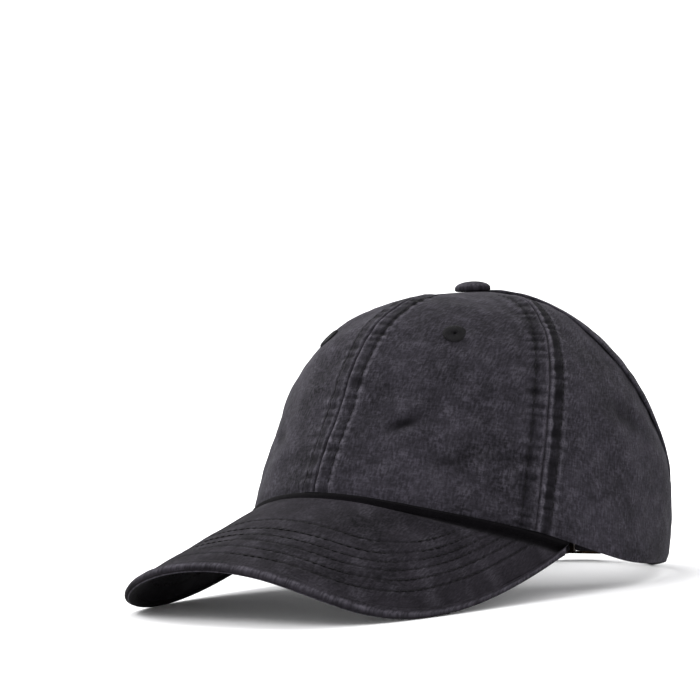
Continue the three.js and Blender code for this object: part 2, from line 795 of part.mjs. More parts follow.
piece('front_panel_left', pierced(1), washedTwill);
piece('front_panel_right', pierced(-1), washedTwill);
piece('side_panel_left', sidePanel(1), washedTwill);
piece('side_panel_right', sidePanel(-1), washedTwill);
piece('opening_binding', openingBinding(), washedTwill);
piece('top_button', topButton(), washedTwill);
piece('eyelet_left', eyelet(1), threadBlack);
piece('eyelet_right', eyelet(-1), threadBlack);
piece('brim', brimBoard(), brimTwill);
piece('brim_hem', brimHem(), brimTwill);
piece('strap_long', longStrap(), strapTwill);
piece('strap_short', shortStrap(), strapTwill);
piece('strap_buckle', strapBuckle(), antiqueBrass);

// The origin is on the surface that the cap stands on, under the middle of its outline
const outline = new THREE.Box3().setFromObject(cap);
const middle = outline.getCenter(vec(0, 0, 0));
cap.position.set(-middle.x, -middle.y, -outline.min.z);

export default cap;
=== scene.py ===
# %% [markdown]
# A ponytail baseball cap in washed black twill, dressed around its CAD frame.
# The frame says where every piece is. The cloth pieces are modelled again here with finer meshes,
# because seams, puckers and stitches need more points than a CAD solid has.

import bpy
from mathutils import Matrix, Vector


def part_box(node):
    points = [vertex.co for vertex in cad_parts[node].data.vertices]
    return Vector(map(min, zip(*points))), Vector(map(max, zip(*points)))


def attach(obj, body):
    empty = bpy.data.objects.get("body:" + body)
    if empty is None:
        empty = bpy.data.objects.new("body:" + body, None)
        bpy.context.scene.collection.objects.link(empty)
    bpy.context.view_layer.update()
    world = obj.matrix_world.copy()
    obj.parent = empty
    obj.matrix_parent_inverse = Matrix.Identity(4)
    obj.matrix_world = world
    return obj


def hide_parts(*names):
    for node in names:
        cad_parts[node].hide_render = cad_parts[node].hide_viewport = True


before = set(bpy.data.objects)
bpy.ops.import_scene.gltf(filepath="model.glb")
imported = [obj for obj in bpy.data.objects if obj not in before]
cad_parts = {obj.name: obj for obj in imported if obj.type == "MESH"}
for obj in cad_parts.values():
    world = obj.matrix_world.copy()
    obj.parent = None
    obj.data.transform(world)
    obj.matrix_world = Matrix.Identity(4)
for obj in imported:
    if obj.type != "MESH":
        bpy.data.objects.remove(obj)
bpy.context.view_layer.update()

# %% Tools
import math

import bpy
import numpy as np
from mathutils import Matrix, Vector

MM = 0.001
TURN = 2 * math.pi
scene = bpy.context.scene

# %% [markdown]
# The crown is one smooth form. Seen from above its lower edge is an ellipse, and its profile is a
# curve whose handles change slowly round the cap. These are the sizes that the CAD was built from,
# so the fine cloth lies exactly where the solids are.

# %% Sizes of the crown, in millimetres
HALF_WIDTH = 82
FRONT_REACH = 98
REAR_REACH = 94
CROWN_HEIGHT = 122
BUTTON_SETBACK = 12
FRONT_LIFT = 45.5
WALL = 1.4
SEWING_GAP = 0.3
EDGE_LIFTS = [1.0, 0.83, 0.54, 0.225, 0.125, 0.005, -0.06]
CROWN_PROFILES = [
    {"top_reach": 0.7, "side_reach": 0.63, "side_height": 0.85},
    {"top_reach": 0.62, "side_reach": 0.9, "side_height": 0.8},
    {"top_reach": 0.42, "side_reach": 1.12, "side_height": 0.74},
    {"top_reach": 0.42, "side_reach": 1.05, "side_height": 0.58},
]
SIDE_SEAM_ANGLE = math.radians(56)
SIDE_SEAM_FAN = 0.54
TAB_ANGLE = math.radians(158.7)
TAB_TOP = 0.876
TAB_SHARE = 0.8
OPENING_SETBACK = 0.105
OPENING_TOP_HANDLE = 0.667
OPENING_SIDE_HANDLE = {"across": 0.68, "back": 0.6}

button_low, button_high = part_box("top_button")
ROW_SHIFT = (button_low[1] + button_high[1]) / 2 / MM - BUTTON_SETBACK
print("the crown's own middle is", round(ROW_SHIFT, 2), "mm behind the origin")


# %% [markdown]
# The crown is charted on a disc: the button is its middle and the lower edge is its rim. A place
# on the disc is turned into a point by the plan ellipse and the profile curve.

# %% The crown as a function
def bezier(a, b, c, d, t):
    s = 1 - t
    return s * s * s * a + 3 * s * s * t * b + 3 * s * t * t * c + t * t * t * d


def lerp(a, b, t):
    return a + (b - a) * t


def smoothstep(x, low, high):
    """Runs from 0 at low to 1 at high, which may lie either way round."""
    t = np.clip((x - low) / (high - low), 0, 1)
    return t * t * (3 - 2 * t)


def bump(x, width):
    return np.exp(-((x / width) ** 2))


def round_crown(values):
    """Carries values at even bearings from front to rear smoothly round the crown."""
    spans = len(values) - 1
    share = [0.5 if node in (0, spans) else 1 for node in range(spans + 1)]
    waves = []
    for wave in range(spans + 1):
        pace = wave * math.pi / spans
        total = sum(share[n] * value * math.cos(pace * n) for n, value in enumerate(values))
        waves.append(2 / spans * share[wave] * total)
    return lambda bearing: sum(size * np.cos(wave * bearing) for wave, size in enumerate(waves))


lift = round_crown(EDGE_LIFTS)
top_reach = round_crown([row["top_reach"] for row in CROWN_PROFILES])
side_reach = round_crown([row["side_reach"] for row in CROWN_PROFILES])
side_height = round_crown([row["side_height"] for row in CROWN_PROFILES])


def plan_radius(bearing):
    reach = np.where(np.cos(bearing) > 0, FRONT_REACH, REAR_REACH)
    return 1 / np.hypot(np.sin(bearing) / HALF_WIDTH, np.cos(bearing) / reach)


def crown_radius(bearing, down):
    reach = plan_radius(bearing)
    return bezier(0, top_reach(bearing) * reach, side_reach(bearing) * reach, reach, down)


def chart(bearing, down):
    """(across, back) on the disc, from a bearing from the front and the share of the way down."""
    return down * np.sin(bearing), -down * np.cos(bearing)


def crown_surface(across, back):
    down = np.hypot(across, back)
    bearing = np.arctan2(across, -back)
    radius = crown_radius(bearing, down)
    edge = FRONT_LIFT * lift(bearing)
    side = lerp(edge, CROWN_HEIGHT, side_height(bearing))
    setback = bezier(BUTTON_SETBACK, BUTTON_SETBACK, 0, 0, down)
    height = bezier(CROWN_HEIGHT, CROWN_HEIGHT, side, edge, down)
    return np.stack([radius * np.sin(bearing), setback - radius * np.cos(bearing), height], axis=-1)


def unit(vectors):
    return vectors / np.maximum(np.linalg.norm(vectors, axis=-1, keepdims=True), 1e-9)


SMALL_STEP = 1e-3


def crown_directions(across, back):
    """Surface directions per unit of the disc, and the outward normal."""
    step = SMALL_STEP
    side_way = (crown_surface(across + step, back) - crown_surface(across - step, back)) / (2 * step)
    back_way = (crown_surface(across, back + step) - crown_surface(across, back - step)) / (2 * step)
    return side_way, back_way, unit(np.cross(side_way, back_way))


def chart_shift(tangent, side_way, back_way):
    """How far a tangent vector in millimetres moves a place on the disc."""
    e = (side_way * side_way).sum(-1)
    f = (side_way * back_way).sum(-1)
    g = (back_way * back_way).sum(-1)
    a = (tangent * side_way).sum(-1)
    b = (tangent * back_way).sum(-1)
    area = e * g - f * f
    return (a * g - b * f) / area, (b * e - a * f) / area


def to_row(points):
    return (np.asarray(points) + [0, ROW_SHIFT, 0]) * MM


# %% [markdown]
# Washed cotton is never smooth. Each seam pulls the cloth into short puckers between its stitches,
# the raised edges are worn pale, and the seam bands keep more of their dye. Shade is painted into
# the grooves, pucker troughs and creases. Heights are worked out for every point, and two attributes,
# wear and shade, carry the paler places and the darker dye and painted shade to the material.

# %% Relief of the sewn and washed cloth
SEAM_BAND_WIDTH = 7
SEAM_BAND_EASE = 0.3
SEAM_BAND_RISE = 0.5
SEAM_RIDGE = 0.3
SEAM_GROOVE = 0.35
STITCH_GROOVE = 0.38
STITCH_OFFSET = 6
PUCKER_PITCH = 5.2
PUCKER_HEIGHT = 0.3
CREASE_LENGTH = 36
CREASE_WIDTH = 9
CREASE_DEPTH = 1.9
LONG_WRINKLE = {"size": 34, "height": 0.34}
SHORT_WRINKLE = {"size": 11, "height": 0.1}
CREASES = [
    {"bearing": 21, "down": 0.83, "turn": 24, "length": 0.95, "width": 0.55, "depth": 1.1},
    {"bearing": 33, "down": 0.9, "turn": 12, "length": 0.56, "width": 0.6, "depth": 0.7},
    {"bearing": -24, "down": 0.86, "turn": -20, "length": 0.72, "width": 0.7, "depth": 0.6},
    {"bearing": 96, "down": 0.72, "turn": -30, "length": 0.94, "width": 1.0, "depth": 0.7},
    {"bearing": -100, "down": 0.7, "turn": 34, "length": 1.0, "width": 1.0, "depth": 0.8},
]


def ripple(points, size, seed, waves=9):
    """Soft random waves of about that size, with a mean square of one."""
    draw = np.random.default_rng(seed)
    total = np.zeros(points.shape[:-1])
    for _ in range(waves):
        way = unit(draw.normal(size=3))
        pace = TURN / size * draw.uniform(0.7, 1.4)
        total += np.cos(points @ way * pace + draw.uniform(0, TURN))
    return total / math.sqrt(waves / 2)


def puckers(along, seed):
    """Short uneven waves along a seam, from -1 to 1."""
    phase = np.random.default_rng(seed).uniform(0, TURN, 4)
    wander = 1.7 * np.sin(TURN * along / 41 + phase[0]) + 0.9 * np.sin(TURN * along / 14 + phase[1])
    swell = 0.62 + 0.38 * np.sin(TURN * along / 27 + phase[2])
    return swell * np.sin(TURN * along / PUCKER_PITCH + wander + phase[3])


def seam_bearing(down):
    return SIDE_SEAM_ANGLE * (1 + SIDE_SEAM_FAN * (1 - down))


def arc_length(points):
    steps = np.linalg.norm(np.diff(points, axis=0), axis=1)
    return np.concatenate([[0], np.cumsum(steps)])


seam_downs = np.linspace(0, 1, 200)
SEAM_LENGTHS = {
    "front": arc_length(crown_surface(*chart(0 * seam_downs, seam_downs))),
    "side": arc_length(crown_surface(*chart(seam_bearing(seam_downs), seam_downs))),
}
for seam_name, seam_lengths in SEAM_LENGTHS.items():
    print(seam_name, "seam", round(seam_lengths[-1]), "mm")


def seam_places(across, back):
    """For each seam: its name, and every point's signed distance from it and distance along it."""
    down = np.hypot(across, back)
    bearing = np.arctan2(across, -back)
    radius = crown_radius(bearing, down)
    front_along = np.interp(down, seam_downs, SEAM_LENGTHS["front"])
    side_along = np.interp(down, seam_downs, SEAM_LENGTHS["side"])
    lean = SIDE_SEAM_ANGLE * SIDE_SEAM_FAN * radius / SEAM_LENGTHS["side"][-1]
    upright = 1 / np.sqrt(1 + lean * lean)
    return [
        ("front", bearing * radius, front_along, 11),
        ("side_left", (bearing - seam_bearing(down)) * radius * upright, side_along, 23),
        ("side_right", (-bearing - seam_bearing(down)) * radius * upright, side_along, 37),
    ]


def seam_relief(across, back):
    """The rear side of a side seam is pressed into a dark lane behind a worn ridge."""
    down = np.hypot(across, back)
    start = smoothstep(down, 0.1, 0.3)
    height = np.zeros_like(down)
    wear = np.zeros_like(down)
    shade = np.zeros_like(down)
    for name, aside, along, seed in seam_places(across, back):
        away = np.abs(aside)
        near = SEAM_BAND_WIDTH * (1 - SEAM_BAND_EASE)
        far = SEAM_BAND_WIDTH * (1 + SEAM_BAND_EASE)
        band = 1 - smoothstep(away, near, far)
        pucker = np.where(aside > 0, puckers(along, seed), puckers(along, seed + 1))
        patchy = 0.6 + 0.4 * puckers(along / 3.1, seed + 2)
        reach = smoothstep(away, 0.4, 2.2) * (1 - smoothstep(away, 6.5, 11.5))
        ridge = bump(away - 1.2, 0.9)
        height += start * (
            SEAM_BAND_RISE * band
            + PUCKER_HEIGHT * pucker * reach
            + SEAM_RIDGE * ridge
            - SEAM_GROOVE * bump(away, 0.5)
            - STITCH_GROOVE * bump(away - STITCH_OFFSET, 0.6)
        )
        lane = smoothstep(aside, 1.9, 2.7) * (1 - smoothstep(aside, 5.4, 6.6))
        stripe = bump(aside + STITCH_OFFSET, 1.5)
        if name == "front":
            lane = bump(away - STITCH_OFFSET, 1.2) * smoothstep(down, 0.95, 0.35)
            stripe = 0.5 * band * smoothstep(down, 0.8, 0.3)
            ridge = ridge + 0.7 * bump(away - STITCH_OFFSET - 1.4, 0.8)
        outer = np.where(aside > 0, 1.0, 0.4)
        wear += start * outer * ridge * (0.75 + 0.45 * pucker) * (0.7 + 0.4 * patchy)
        wear += start * 0.4 * reach * np.clip(pucker, 0, 1) * (1 - lane)
        wear += start * 0.4 * bump(aside - STITCH_OFFSET - 1.5, 0.8)
        # The lane and band are darker dye; the seam groove, the stitch lines and the pucker troughs get
        # painted shade.
        shade += start * patchy * (0.8 * lane + 0.75 * stripe)
        shade += start * (0.25 * band * (1 - ridge) + 0.3 * bump(away, 0.5))
        shade += start * 0.5 * reach * np.clip(-pucker, 0, 1)
    return height, wear, shade


def crease_relief(points):
    height = np.zeros(points.shape[:-1])
    for crease in CREASES:
        bearing = math.radians(crease["bearing"])
        turn = math.radians(crease["turn"])
        middle = crown_surface(*chart(np.float64(bearing), crease["down"]))
        away = points - middle
        level = np.array([math.cos(bearing), math.sin(bearing), 0])
        along = away @ level * math.cos(turn) + away[..., 2] * math.sin(turn)
        aside = np.sqrt(np.maximum((away * away).sum(-1) - along * along, 0))
        fold = bump(2 * along, crease["length"] * CREASE_LENGTH)
        fold = fold * bump(2 * aside, crease["width"] * CREASE_WIDTH)
        height -= CREASE_DEPTH * crease["depth"] * fold
    return height


def crown_cloth(across, back, rise=0.0, calm=None):
    """Points of the washed crown, with wear and shade. calm fades the soft wrinkles near an edge."""
    points = crown_surface(across, back)
    normals = crown_directions(across, back)[2]
    height, wear, shade = seam_relief(across, back)
    creases = crease_relief(points)
    height = height + creases
    # Painted shade: the creases' hollows are darkened in the colour.
    shade = shade - 0.5 * creases
    down = np.hypot(across, back)
    soft = 1 - smoothstep(down, 0.94, 0.995)
    if calm is not None:
        soft = soft * calm
    long_waves = ripple(points, LONG_WRINKLE["size"], 5)
    short_waves = ripple(points, SHORT_WRINKLE["size"], 6)
    wrinkle = LONG_WRINKLE["height"] * long_waves + SHORT_WRINKLE["height"] * short_waves
    height = height + wrinkle * soft * smoothstep(down, 0.05, 0.2)
    wear = wear + 0.12 * np.clip(short_waves, 0, 2) * soft
    points = points + normals * (height + rise)[..., None]
    points[..., 2] = np.maximum(points[..., 2], 0)
    return points, np.clip(wear, 0, 1), np.clip(shade, 0, 1)


# %% [markdown]
# Every cloth piece starts as a flat grid, as a cut panel does, and its points are then moved to
# their places on the cap. The UV map holds the cloth's own lengths, so that the weave keeps its
# true size and runs down each panel.

# %% Grids of cloth
def deselect():
    if bpy.context.object and bpy.context.object.mode != "OBJECT":
        bpy.ops.object.mode_set(mode="OBJECT")
    bpy.ops.object.select_all(action="DESELECT")


def only(obj):
    deselect()
    obj.select_set(True)
    bpy.context.view_layer.objects.active = obj


def name_piece(obj, name):
    obj.name = name
    obj.data.name = name


def cloth_grid(name, points, uv, wear=None, shade=None):
    """A grid of rows and columns moved to the given points, in millimetres of the crown's frame."""
    rows, columns = points.shape[:2]
    deselect()
    bpy.ops.mesh.primitive_grid_add(x_subdivisions=columns - 1, y_subdivisions=rows - 1, size=1)
    grid = bpy.context.object
    name_piece(grid, name)
    mesh = grid.data
    mesh.vertices.foreach_set("co", to_row(points).astype(np.float32).ravel())
    corners = np.empty(len(mesh.loops), dtype=np.int32)
    mesh.loops.foreach_get("vertex_index", corners)
    flat_uv = (uv * MM).reshape(-1, 2).astype(np.float32)
    mesh.uv_layers[0].name = "cloth"
    mesh.uv_layers[0].data.foreach_set("uv", flat_uv[corners].ravel())
    for label, values in (("wear", wear), ("shade", shade)):
        if values is None:
            values = np.zeros((rows, columns))
        attribute = mesh.attributes.new(label, "FLOAT", "POINT")
        attribute.data.foreach_set("value", values.astype(np.float32).ravel())
    mesh.update()
    return grid


def face_outwards(grid):
    """Turns a sheet's faces away from the middle of the crown."""
    mesh = grid.data
    middle = Vector(to_row([0, 0, 50]))
    faces = list(mesh.polygons)[:: max(1, len(mesh.polygons) // 400)]
    facing = sum((face.center - middle).normalized().dot(face.normal) for face in faces)
    if facing < 0:
        mesh.flip_normals()


def thicken(grid, thickness):
    only(grid)
    for _ in ("outer side", "inner side"):
        grid.data.materials.append(None)
    wall = grid.modifiers.new("wall", "SOLIDIFY")
    wall.thickness = thickness * MM
    wall.offset = -1
    wall.material_offset = 1
    bpy.ops.object.modifier_apply(modifier="wall")
    keep_off_floor(grid)


def keep_off_floor(obj):
    count = len(obj.data.vertices)
    places = np.empty(count * 3, dtype=np.float32)
    obj.data.vertices.foreach_get("co", places)
    places = places.reshape(-1, 3)
    places[:, 2] = np.maximum(places[:, 2], 0)
    obj.data.vertices.foreach_set("co", places.ravel())
    obj.data.update()


def smooth(obj, degrees=55):
    only(obj)
    bpy.ops.object.shade_smooth_by_angle(angle=math.radians(degrees))


def close_band(band):
    """Joins the first and last column of a swept band and fills its two ends."""
    only(band)
    bpy.ops.object.mode_set(mode="EDIT")
    bpy.ops.mesh.select_all(action="SELECT")
    bpy.ops.mesh.remove_doubles(threshold=1e-6)
    bpy.ops.mesh.select_all(action="DESELECT")
    bpy.ops.mesh.select_non_manifold()
    bpy.ops.mesh.fill_holes(sides=0)
    bpy.ops.mesh.select_all(action="SELECT")
    bpy.ops.mesh.normals_make_consistent(inside=False)
    bpy.ops.object.mode_set(mode="OBJECT")


def swept_band(name, points, uv, wear=None, shade=None):
    """points is stations by section, open: the section's first point is repeated to close it."""
    again = lambda values: None if values is None else np.concatenate([values, values[:, :1]], axis=1)
    last = uv[:, -1:] + (uv[:, -1:] - uv[:, -2:-1])
    band = cloth_grid(name, again(points), np.concatenate([uv, last], axis=1), again(wear), again(shade))
    close_band(band)
    return band


def report(obj):
    size = obj.dimensions / MM
    print(f"{obj.name}: {len(obj.data.polygons)} faces, {size.x:.1f} x {size.y:.1f} x {size.z:.1f} mm")


pieces = []


def finish_piece(obj, slot, *nodes):
    """Says which body carries the piece and which CAD nodes it stands for. slot is not used."""
    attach(obj, "root")
    if nodes:
        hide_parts(*nodes)
    pieces.append(obj)
    report(obj)


# %% [markdown]
# Stitches are short rounded lengths of thread, half sunk in the cloth. One is modelled as a low
# ball drawn out to a thread's length, and rows of copies are gathered in one mesh for each seam.

# %% Rows of stitches
STITCH_PITCH = 3.4
STITCH_LENGTH = 2.5
THREAD_RADIUS = 0.3
STITCHED = {"from": 0.16, "to": 0.985}

deselect()
bpy.ops.mesh.primitive_uv_sphere_add(segments=8, ring_count=6, radius=1)
stitch_form = bpy.context.object
stitch_points = np.array([vertex.co[:] for vertex in stitch_form.data.vertices])
stitch_points *= [STITCH_LENGTH / 2, THREAD_RADIUS, THREAD_RADIUS]
stitch_faces = [list(face.vertices) for face in stitch_form.data.polygons]
bpy.data.objects.remove(stitch_form)


def stitched_row(route, normals):
    """Centres and directions of the stitches along a route, one each STITCH_PITCH."""
    along = arc_length(route)
    count = int(along[-1] / STITCH_PITCH)
    if count < 2:
        return []
    middles = (np.arange(count) + 0.5) * along[-1] / count
    at = lambda values, where: np.stack([np.interp(where, along, values[:, k]) for k in range(3)], axis=1)
    centre = at(route, middles)
    ahead = unit(at(route, middles + 0.5) - at(route, middles - 0.5))
    upward = unit(at(normals, middles))
    beside = unit(np.cross(upward, ahead))
    upward = np.cross(ahead, beside)
    return list(zip(centre, ahead, beside, upward))


def thread_piece(name, rows):
    """All the stitches of some rows as one mesh."""
    stitches = [stitch for row in rows for stitch in row]
    points = []
    faces = []
    for number, (centre, ahead, beside, upward) in enumerate(stitches):
        turn = np.stack([ahead, beside, upward])
        points.append(centre + stitch_points @ turn)
        start = number * len(stitch_points)
        faces.extend([[start + corner for corner in face] for face in stitch_faces])
    mesh = bpy.data.meshes.new(name)
    mesh.from_pydata(to_row(np.concatenate(points)).tolist(), [], faces)
    obj = bpy.data.objects.new(name, mesh)
    scene.collection.objects.link(obj)
    mesh.shade_smooth()
    finish_piece(obj, "eyelet_thread")
    print(len(stitches), "stitches")


def crown_stitches(bearing_of, offset):
    """A row beside a seam, offset in millimetres to one side of it."""
    downs = np.linspace(STITCHED["from"], STITCHED["to"], 240)
    bearing = bearing_of(downs)
    bearing = bearing + offset / crown_radius(bearing, downs)
    across, back = chart(bearing, downs)
    route = crown_cloth(across, back)[0]
    return stitched_row(route, crown_directions(across, back)[2])


# %% [markdown]
# The two front panels meet at the centre seam. Each one is a grid from seam to seam, with its
# columns closer together beside the seams, where the puckers are. The hole of each eyelet is cut
# by deleting the faces inside it, and Solidify then gives the cloth its wall and its inner side.

# %% Front panels
APEX_HOLE = 0.018
SEAM_LAP = 0.12
SEAM_TUCK = 0.4
FRONT_GRID = {"rows": 176, "columns": 126}
EYELET_HOLE = 1.1
EYELET_RADIUS = 4.9
EYELET_RISE = 0.5
THREAD_HOLE_SHARE = 1 / 3
EYELET_BEARING = math.radians(33.2)
EYELET_DOWN = 0.505
CLOTH_HOLE = 3.0
COLUMN_CROWD = {"front": 0.55, "side": 0.5}
EDGE_ROLL = 0.9


def crowded(count, crowd):
    """Shares from 0 to 1 that lie closer together towards both ends."""
    t = np.linspace(0, 1, count)
    return t - crowd * np.sin(TURN * t) / TURN


def rolled_edge(down):
    return -EDGE_ROLL * smoothstep(down, 0.982, 1.0) ** 2


def eyelet_centre(side):
    across, back = chart(np.float64(side * EYELET_BEARING), EYELET_DOWN)
    return across, back, crown_surface(across, back)


def cut_hole(panel, middle, radius):
    only(panel)
    bpy.ops.object.mode_set(mode="EDIT")
    bpy.ops.mesh.select_mode(type="FACE")
    bpy.ops.mesh.select_all(action="DESELECT")
    bpy.ops.object.mode_set(mode="OBJECT")
    for face in panel.data.polygons:
        face.select = (face.center - Vector(to_row(middle))).length < radius * MM
    bpy.ops.object.mode_set(mode="EDIT")
    bpy.ops.mesh.delete(type="FACE")
    bpy.ops.mesh.select_mode(type="VERT")
    bpy.ops.object.mode_set(mode="OBJECT")


def front_panel(side, name):
    columns = crowded(FRONT_GRID["columns"], COLUMN_CROWD["front"])
    rows = np.linspace(APEX_HOLE, 1, FRONT_GRID["rows"])
    u, down = np.meshgrid(columns, rows)
    seam = seam_bearing(down)
    lap = SEAM_LAP / crown_radius(seam, down)
    bearing = side * lerp(-lap, seam + lap, u)
    tucked = SEAM_TUCK * ((u == 0) | (u == 1))
    points, wear, shade = crown_cloth(*chart(bearing, down), rise=rolled_edge(down) - tucked)
    uv = np.stack([
        bearing * crown_radius(bearing, down),
        -np.interp(down, seam_downs, SEAM_LENGTHS["front"]),
    ], axis=-1)
    panel = cloth_grid(name, points, uv, wear, shade)
    face_outwards(panel)
    cut_hole(panel, eyelet_centre(side)[2], CLOTH_HOLE)
    thicken(panel, WALL)
    smooth(panel)
    return panel


front_left = front_panel(1, "front_panel_left_cloth")
finish_piece(front_left, "washed_twill", "front_panel_left")
front_right = front_panel(-1, "front_panel_right_cloth")
finish_piece(front_right, "washed_twill", "front_panel_right")

# %% [markdown]
# A side panel runs from the side seam round to the rear tab. Its rear edge is the edge of the
# ponytail opening, then the end of the tab. The grid is a patch between these borders. The bow of
# its hem comes in late, by a power of the way down, because rows that crossed would fold the cloth.
# The tab's lower corner is rounded by a squeeze that turns a square corner into a round one.

# %% Side panels
SIDE_GRID = {"rows": 196, "columns": 156}
TAB_CORNER = 4.5
TAB_HEM_WIDTH = 6
TAB_HEM_RISE = 0.25
TAB_EDGE_ROLL = 0.7
TAB_GROOVE = 0.3
HEM_CURL = 1.5
SIDE_SPAN = {"across": 150, "down": 112}
PATCH_SWELL = 1.75


def opening_edge(share):
    """Edge of the opening, from behind the button (0) to the foot of the tab (1)."""
    corner_across, corner_back = chart(TAB_ANGLE, TAB_TOP)
    t = np.minimum(share / TAB_SHARE, 1)
    handle = OPENING_SIDE_HANDLE
    across = bezier(0, OPENING_TOP_HANDLE, handle["across"], corner_across, t)
    back = bezier(OPENING_SETBACK, OPENING_SETBACK, handle["back"], corner_back, t)
    foot = np.maximum(share - TAB_SHARE, 0) / (1 - TAB_SHARE)
    drop = lerp(1, 1 / TAB_TOP, foot)
    return across * drop, back * drop


def side_patch(u, v):
    seam_down = lerp(APEX_HOLE, 1, v)
    seam_at = seam_bearing(seam_down) - SEAM_LAP / crown_radius(seam_bearing(seam_down), seam_down)
    seam = chart(seam_at, seam_down)
    rear = opening_edge(v)
    hem_start = SIDE_SEAM_ANGLE - SEAM_LAP / HALF_WIDTH
    hem = chart(lerp(hem_start, TAB_ANGLE, u), 1.0)
    hem_ends = chart(hem_start, 1.0), chart(TAB_ANGLE, 1.0)
    place = []
    for key in (0, 1):
        bow = hem[key] - lerp(hem_ends[0][key], hem_ends[1][key], u)
        place.append(lerp(seam[key], rear[key], u) + v ** PATCH_SWELL * bow)
    return place


def round_corner(u, v):
    """Moves places near the corner u=1, v=1 so that the corner becomes round."""
    across_size, down_size = SIDE_SPAN["across"], SIDE_SPAN["down"]
    x = np.clip(1 - (1 - u) * across_size / TAB_CORNER, 0, 1)
    y = np.clip(1 - (1 - v) * down_size / TAB_CORNER, 0, 1)
    u_new = u - (x - x * np.sqrt(1 - y * y / 2)) * TAB_CORNER / across_size
    v_new = v - (y - y * np.sqrt(1 - x * x / 2)) * TAB_CORNER / down_size
    return u_new, v_new


def side_panel(side, name):
    columns = crowded(SIDE_GRID["columns"], COLUMN_CROWD["side"])
    u, v = np.meshgrid(columns, np.linspace(0, 1, SIDE_GRID["rows"]))
    u, v = round_corner(u, v)
    across, back = side_patch(u, v)
    down = np.hypot(across, back)
    bearing = np.arctan2(across, -back)
    from_end = (1 - u) * SIDE_SPAN["across"]
    tab = smoothstep(v, TAB_SHARE + 0.005, TAB_SHARE + 0.03)
    hem = tab * (1 - smoothstep(from_end, TAB_HEM_WIDTH - 0.6, TAB_HEM_WIDTH + 0.6))
    edge_roll = -TAB_EDGE_ROLL * tab * (1 - smoothstep(from_end, 0, 1.2))
    groove = TAB_GROOVE * tab * bump(from_end - TAB_HEM_WIDTH + 1, 0.6)
    rise = rolled_edge(down) + TAB_HEM_RISE * hem + edge_roll - groove
    rise = rise - SEAM_TUCK * (u == 0)
    rise = rise - HEM_CURL * smoothstep(down, 0.84, 1.0) * smoothstep(bearing, 1.6, 2.1)
    calm = 1 - smoothstep(u, 0.84, 0.93)
    points, wear, shade = crown_cloth(side * across, back, rise=rise, calm=calm)
    # Painted shade: the side panel darkens in patches towards its rear and lower part, and more at the
    # lower rear corner, as the light falls off there.
    shade_patches = 0.5 + 0.5 * np.clip(ripple(points, 46, 7), -1, 1)
    shade = shade + 0.4 * smoothstep(u, 0.25, 0.9) * smoothstep(v, 0.25, 0.7) * shade_patches
    shade = np.clip(shade + 0.35 * smoothstep(v, 0.86, 1.0) * smoothstep(u, 0.7, 1.0), 0, 1)
    uv = np.stack([
        bearing * crown_radius(bearing, down),
        -np.interp(down, seam_downs, SEAM_LENGTHS["side"]),
    ], axis=-1)
    panel = cloth_grid(name, points, uv, wear, shade)
    face_outwards(panel)
    thicken(panel, WALL)
    smooth(panel)
    return panel


side_left = side_panel(1, "side_panel_left_cloth")
finish_piece(side_left, "washed_twill", "side_panel_left")
side_right = side_panel(-1, "side_panel_right_cloth")
finish_piece(side_right, "washed_twill", "side_panel_right")

# %% [markdown]
# A band of the same cloth is folded over the edge of the opening and sewn down along its free
# border. It is swept as one closed fold from tab to tab: outside, round the edge and back inside,
# with the panel's edge held in the slot between.

# %% Binding of the opening
BINDING_WIDTH = 10
BINDING_TOP_WIDTH = 5
BINDING_THICKNESS = 0.9
BINDING_STATIONS = 420
BINDING_SEED = 51
BINDING_STITCH_INSET = 1.9
BINDING_GROOVE = 0.4
BINDING_FOLD_REACH = 1.25


def beside_opening(side, inward):
    """Places at a distance in from the opening's edge. side runs from -1 to 1."""
    def edge(share):
        across, back = opening_edge(np.abs(share))
        return np.sign(share) * across, back

    place = edge(side * TAB_SHARE)
    last = TAB_SHARE - SMALL_STEP
    middle = np.clip(side * TAB_SHARE, -last, last)
    ahead = crown_surface(*edge(middle + SMALL_STEP))
    behind = crown_surface(*edge(middle - SMALL_STEP))
    side_way, back_way, normal = crown_directions(*place)
    shift = chart_shift(unit(np.cross(ahead - behind, normal)), side_way, back_way)
    tab = chart(np.sign(side) * TAB_ANGLE, 1.0)
    tab_way = side_way * tab[0][..., None] + back_way * np.asarray(tab[1])[..., None]
    tab_length = np.linalg.norm(tab_way, axis=-1)
    turn = smoothstep(np.abs(side), 0.8, 1)
    across = place[0] + inward * lerp(shift[0], tab[0] / tab_length, turn)
    back = place[1] + inward * lerp(shift[1], tab[1] / tab_length, turn)
    return across, back


def binding_section():
    """Rows of (share of the width, millimetres past the edge, height) round the fold."""
    top = SEWING_GAP + BINDING_THICKNESS
    under = -WALL - top
    rows = [(1.0, 0, SEWING_GAP), (1.0, 0, 0.75)]
    rows += [(share, 0, top) for share in np.linspace(0.97, 0.03, 26)]
    for angle in np.linspace(80, -80, 9):
        turn = math.radians(angle)
        height = (top + under) / 2 + (top - under) / 2 * math.sin(turn)
        rows.append((0, BINDING_FOLD_REACH * math.cos(turn), height))
    rows += [(share, 0, under) for share in np.linspace(0.03, 0.97, 14)]
    rows += [(1.0, 0, -WALL - 0.75), (1.0, 0, -WALL - SEWING_GAP), (0.5, 0, -WALL - SEWING_GAP)]
    rows += [(0, 0.3, -WALL - SEWING_GAP), (0, 0.3, SEWING_GAP), (0.5, 0, SEWING_GAP)]
    return np.array(rows)


def binding_width(side):
    return lerp(BINDING_TOP_WIDTH, BINDING_WIDTH, smoothstep(np.abs(side), 0.06, 0.3))


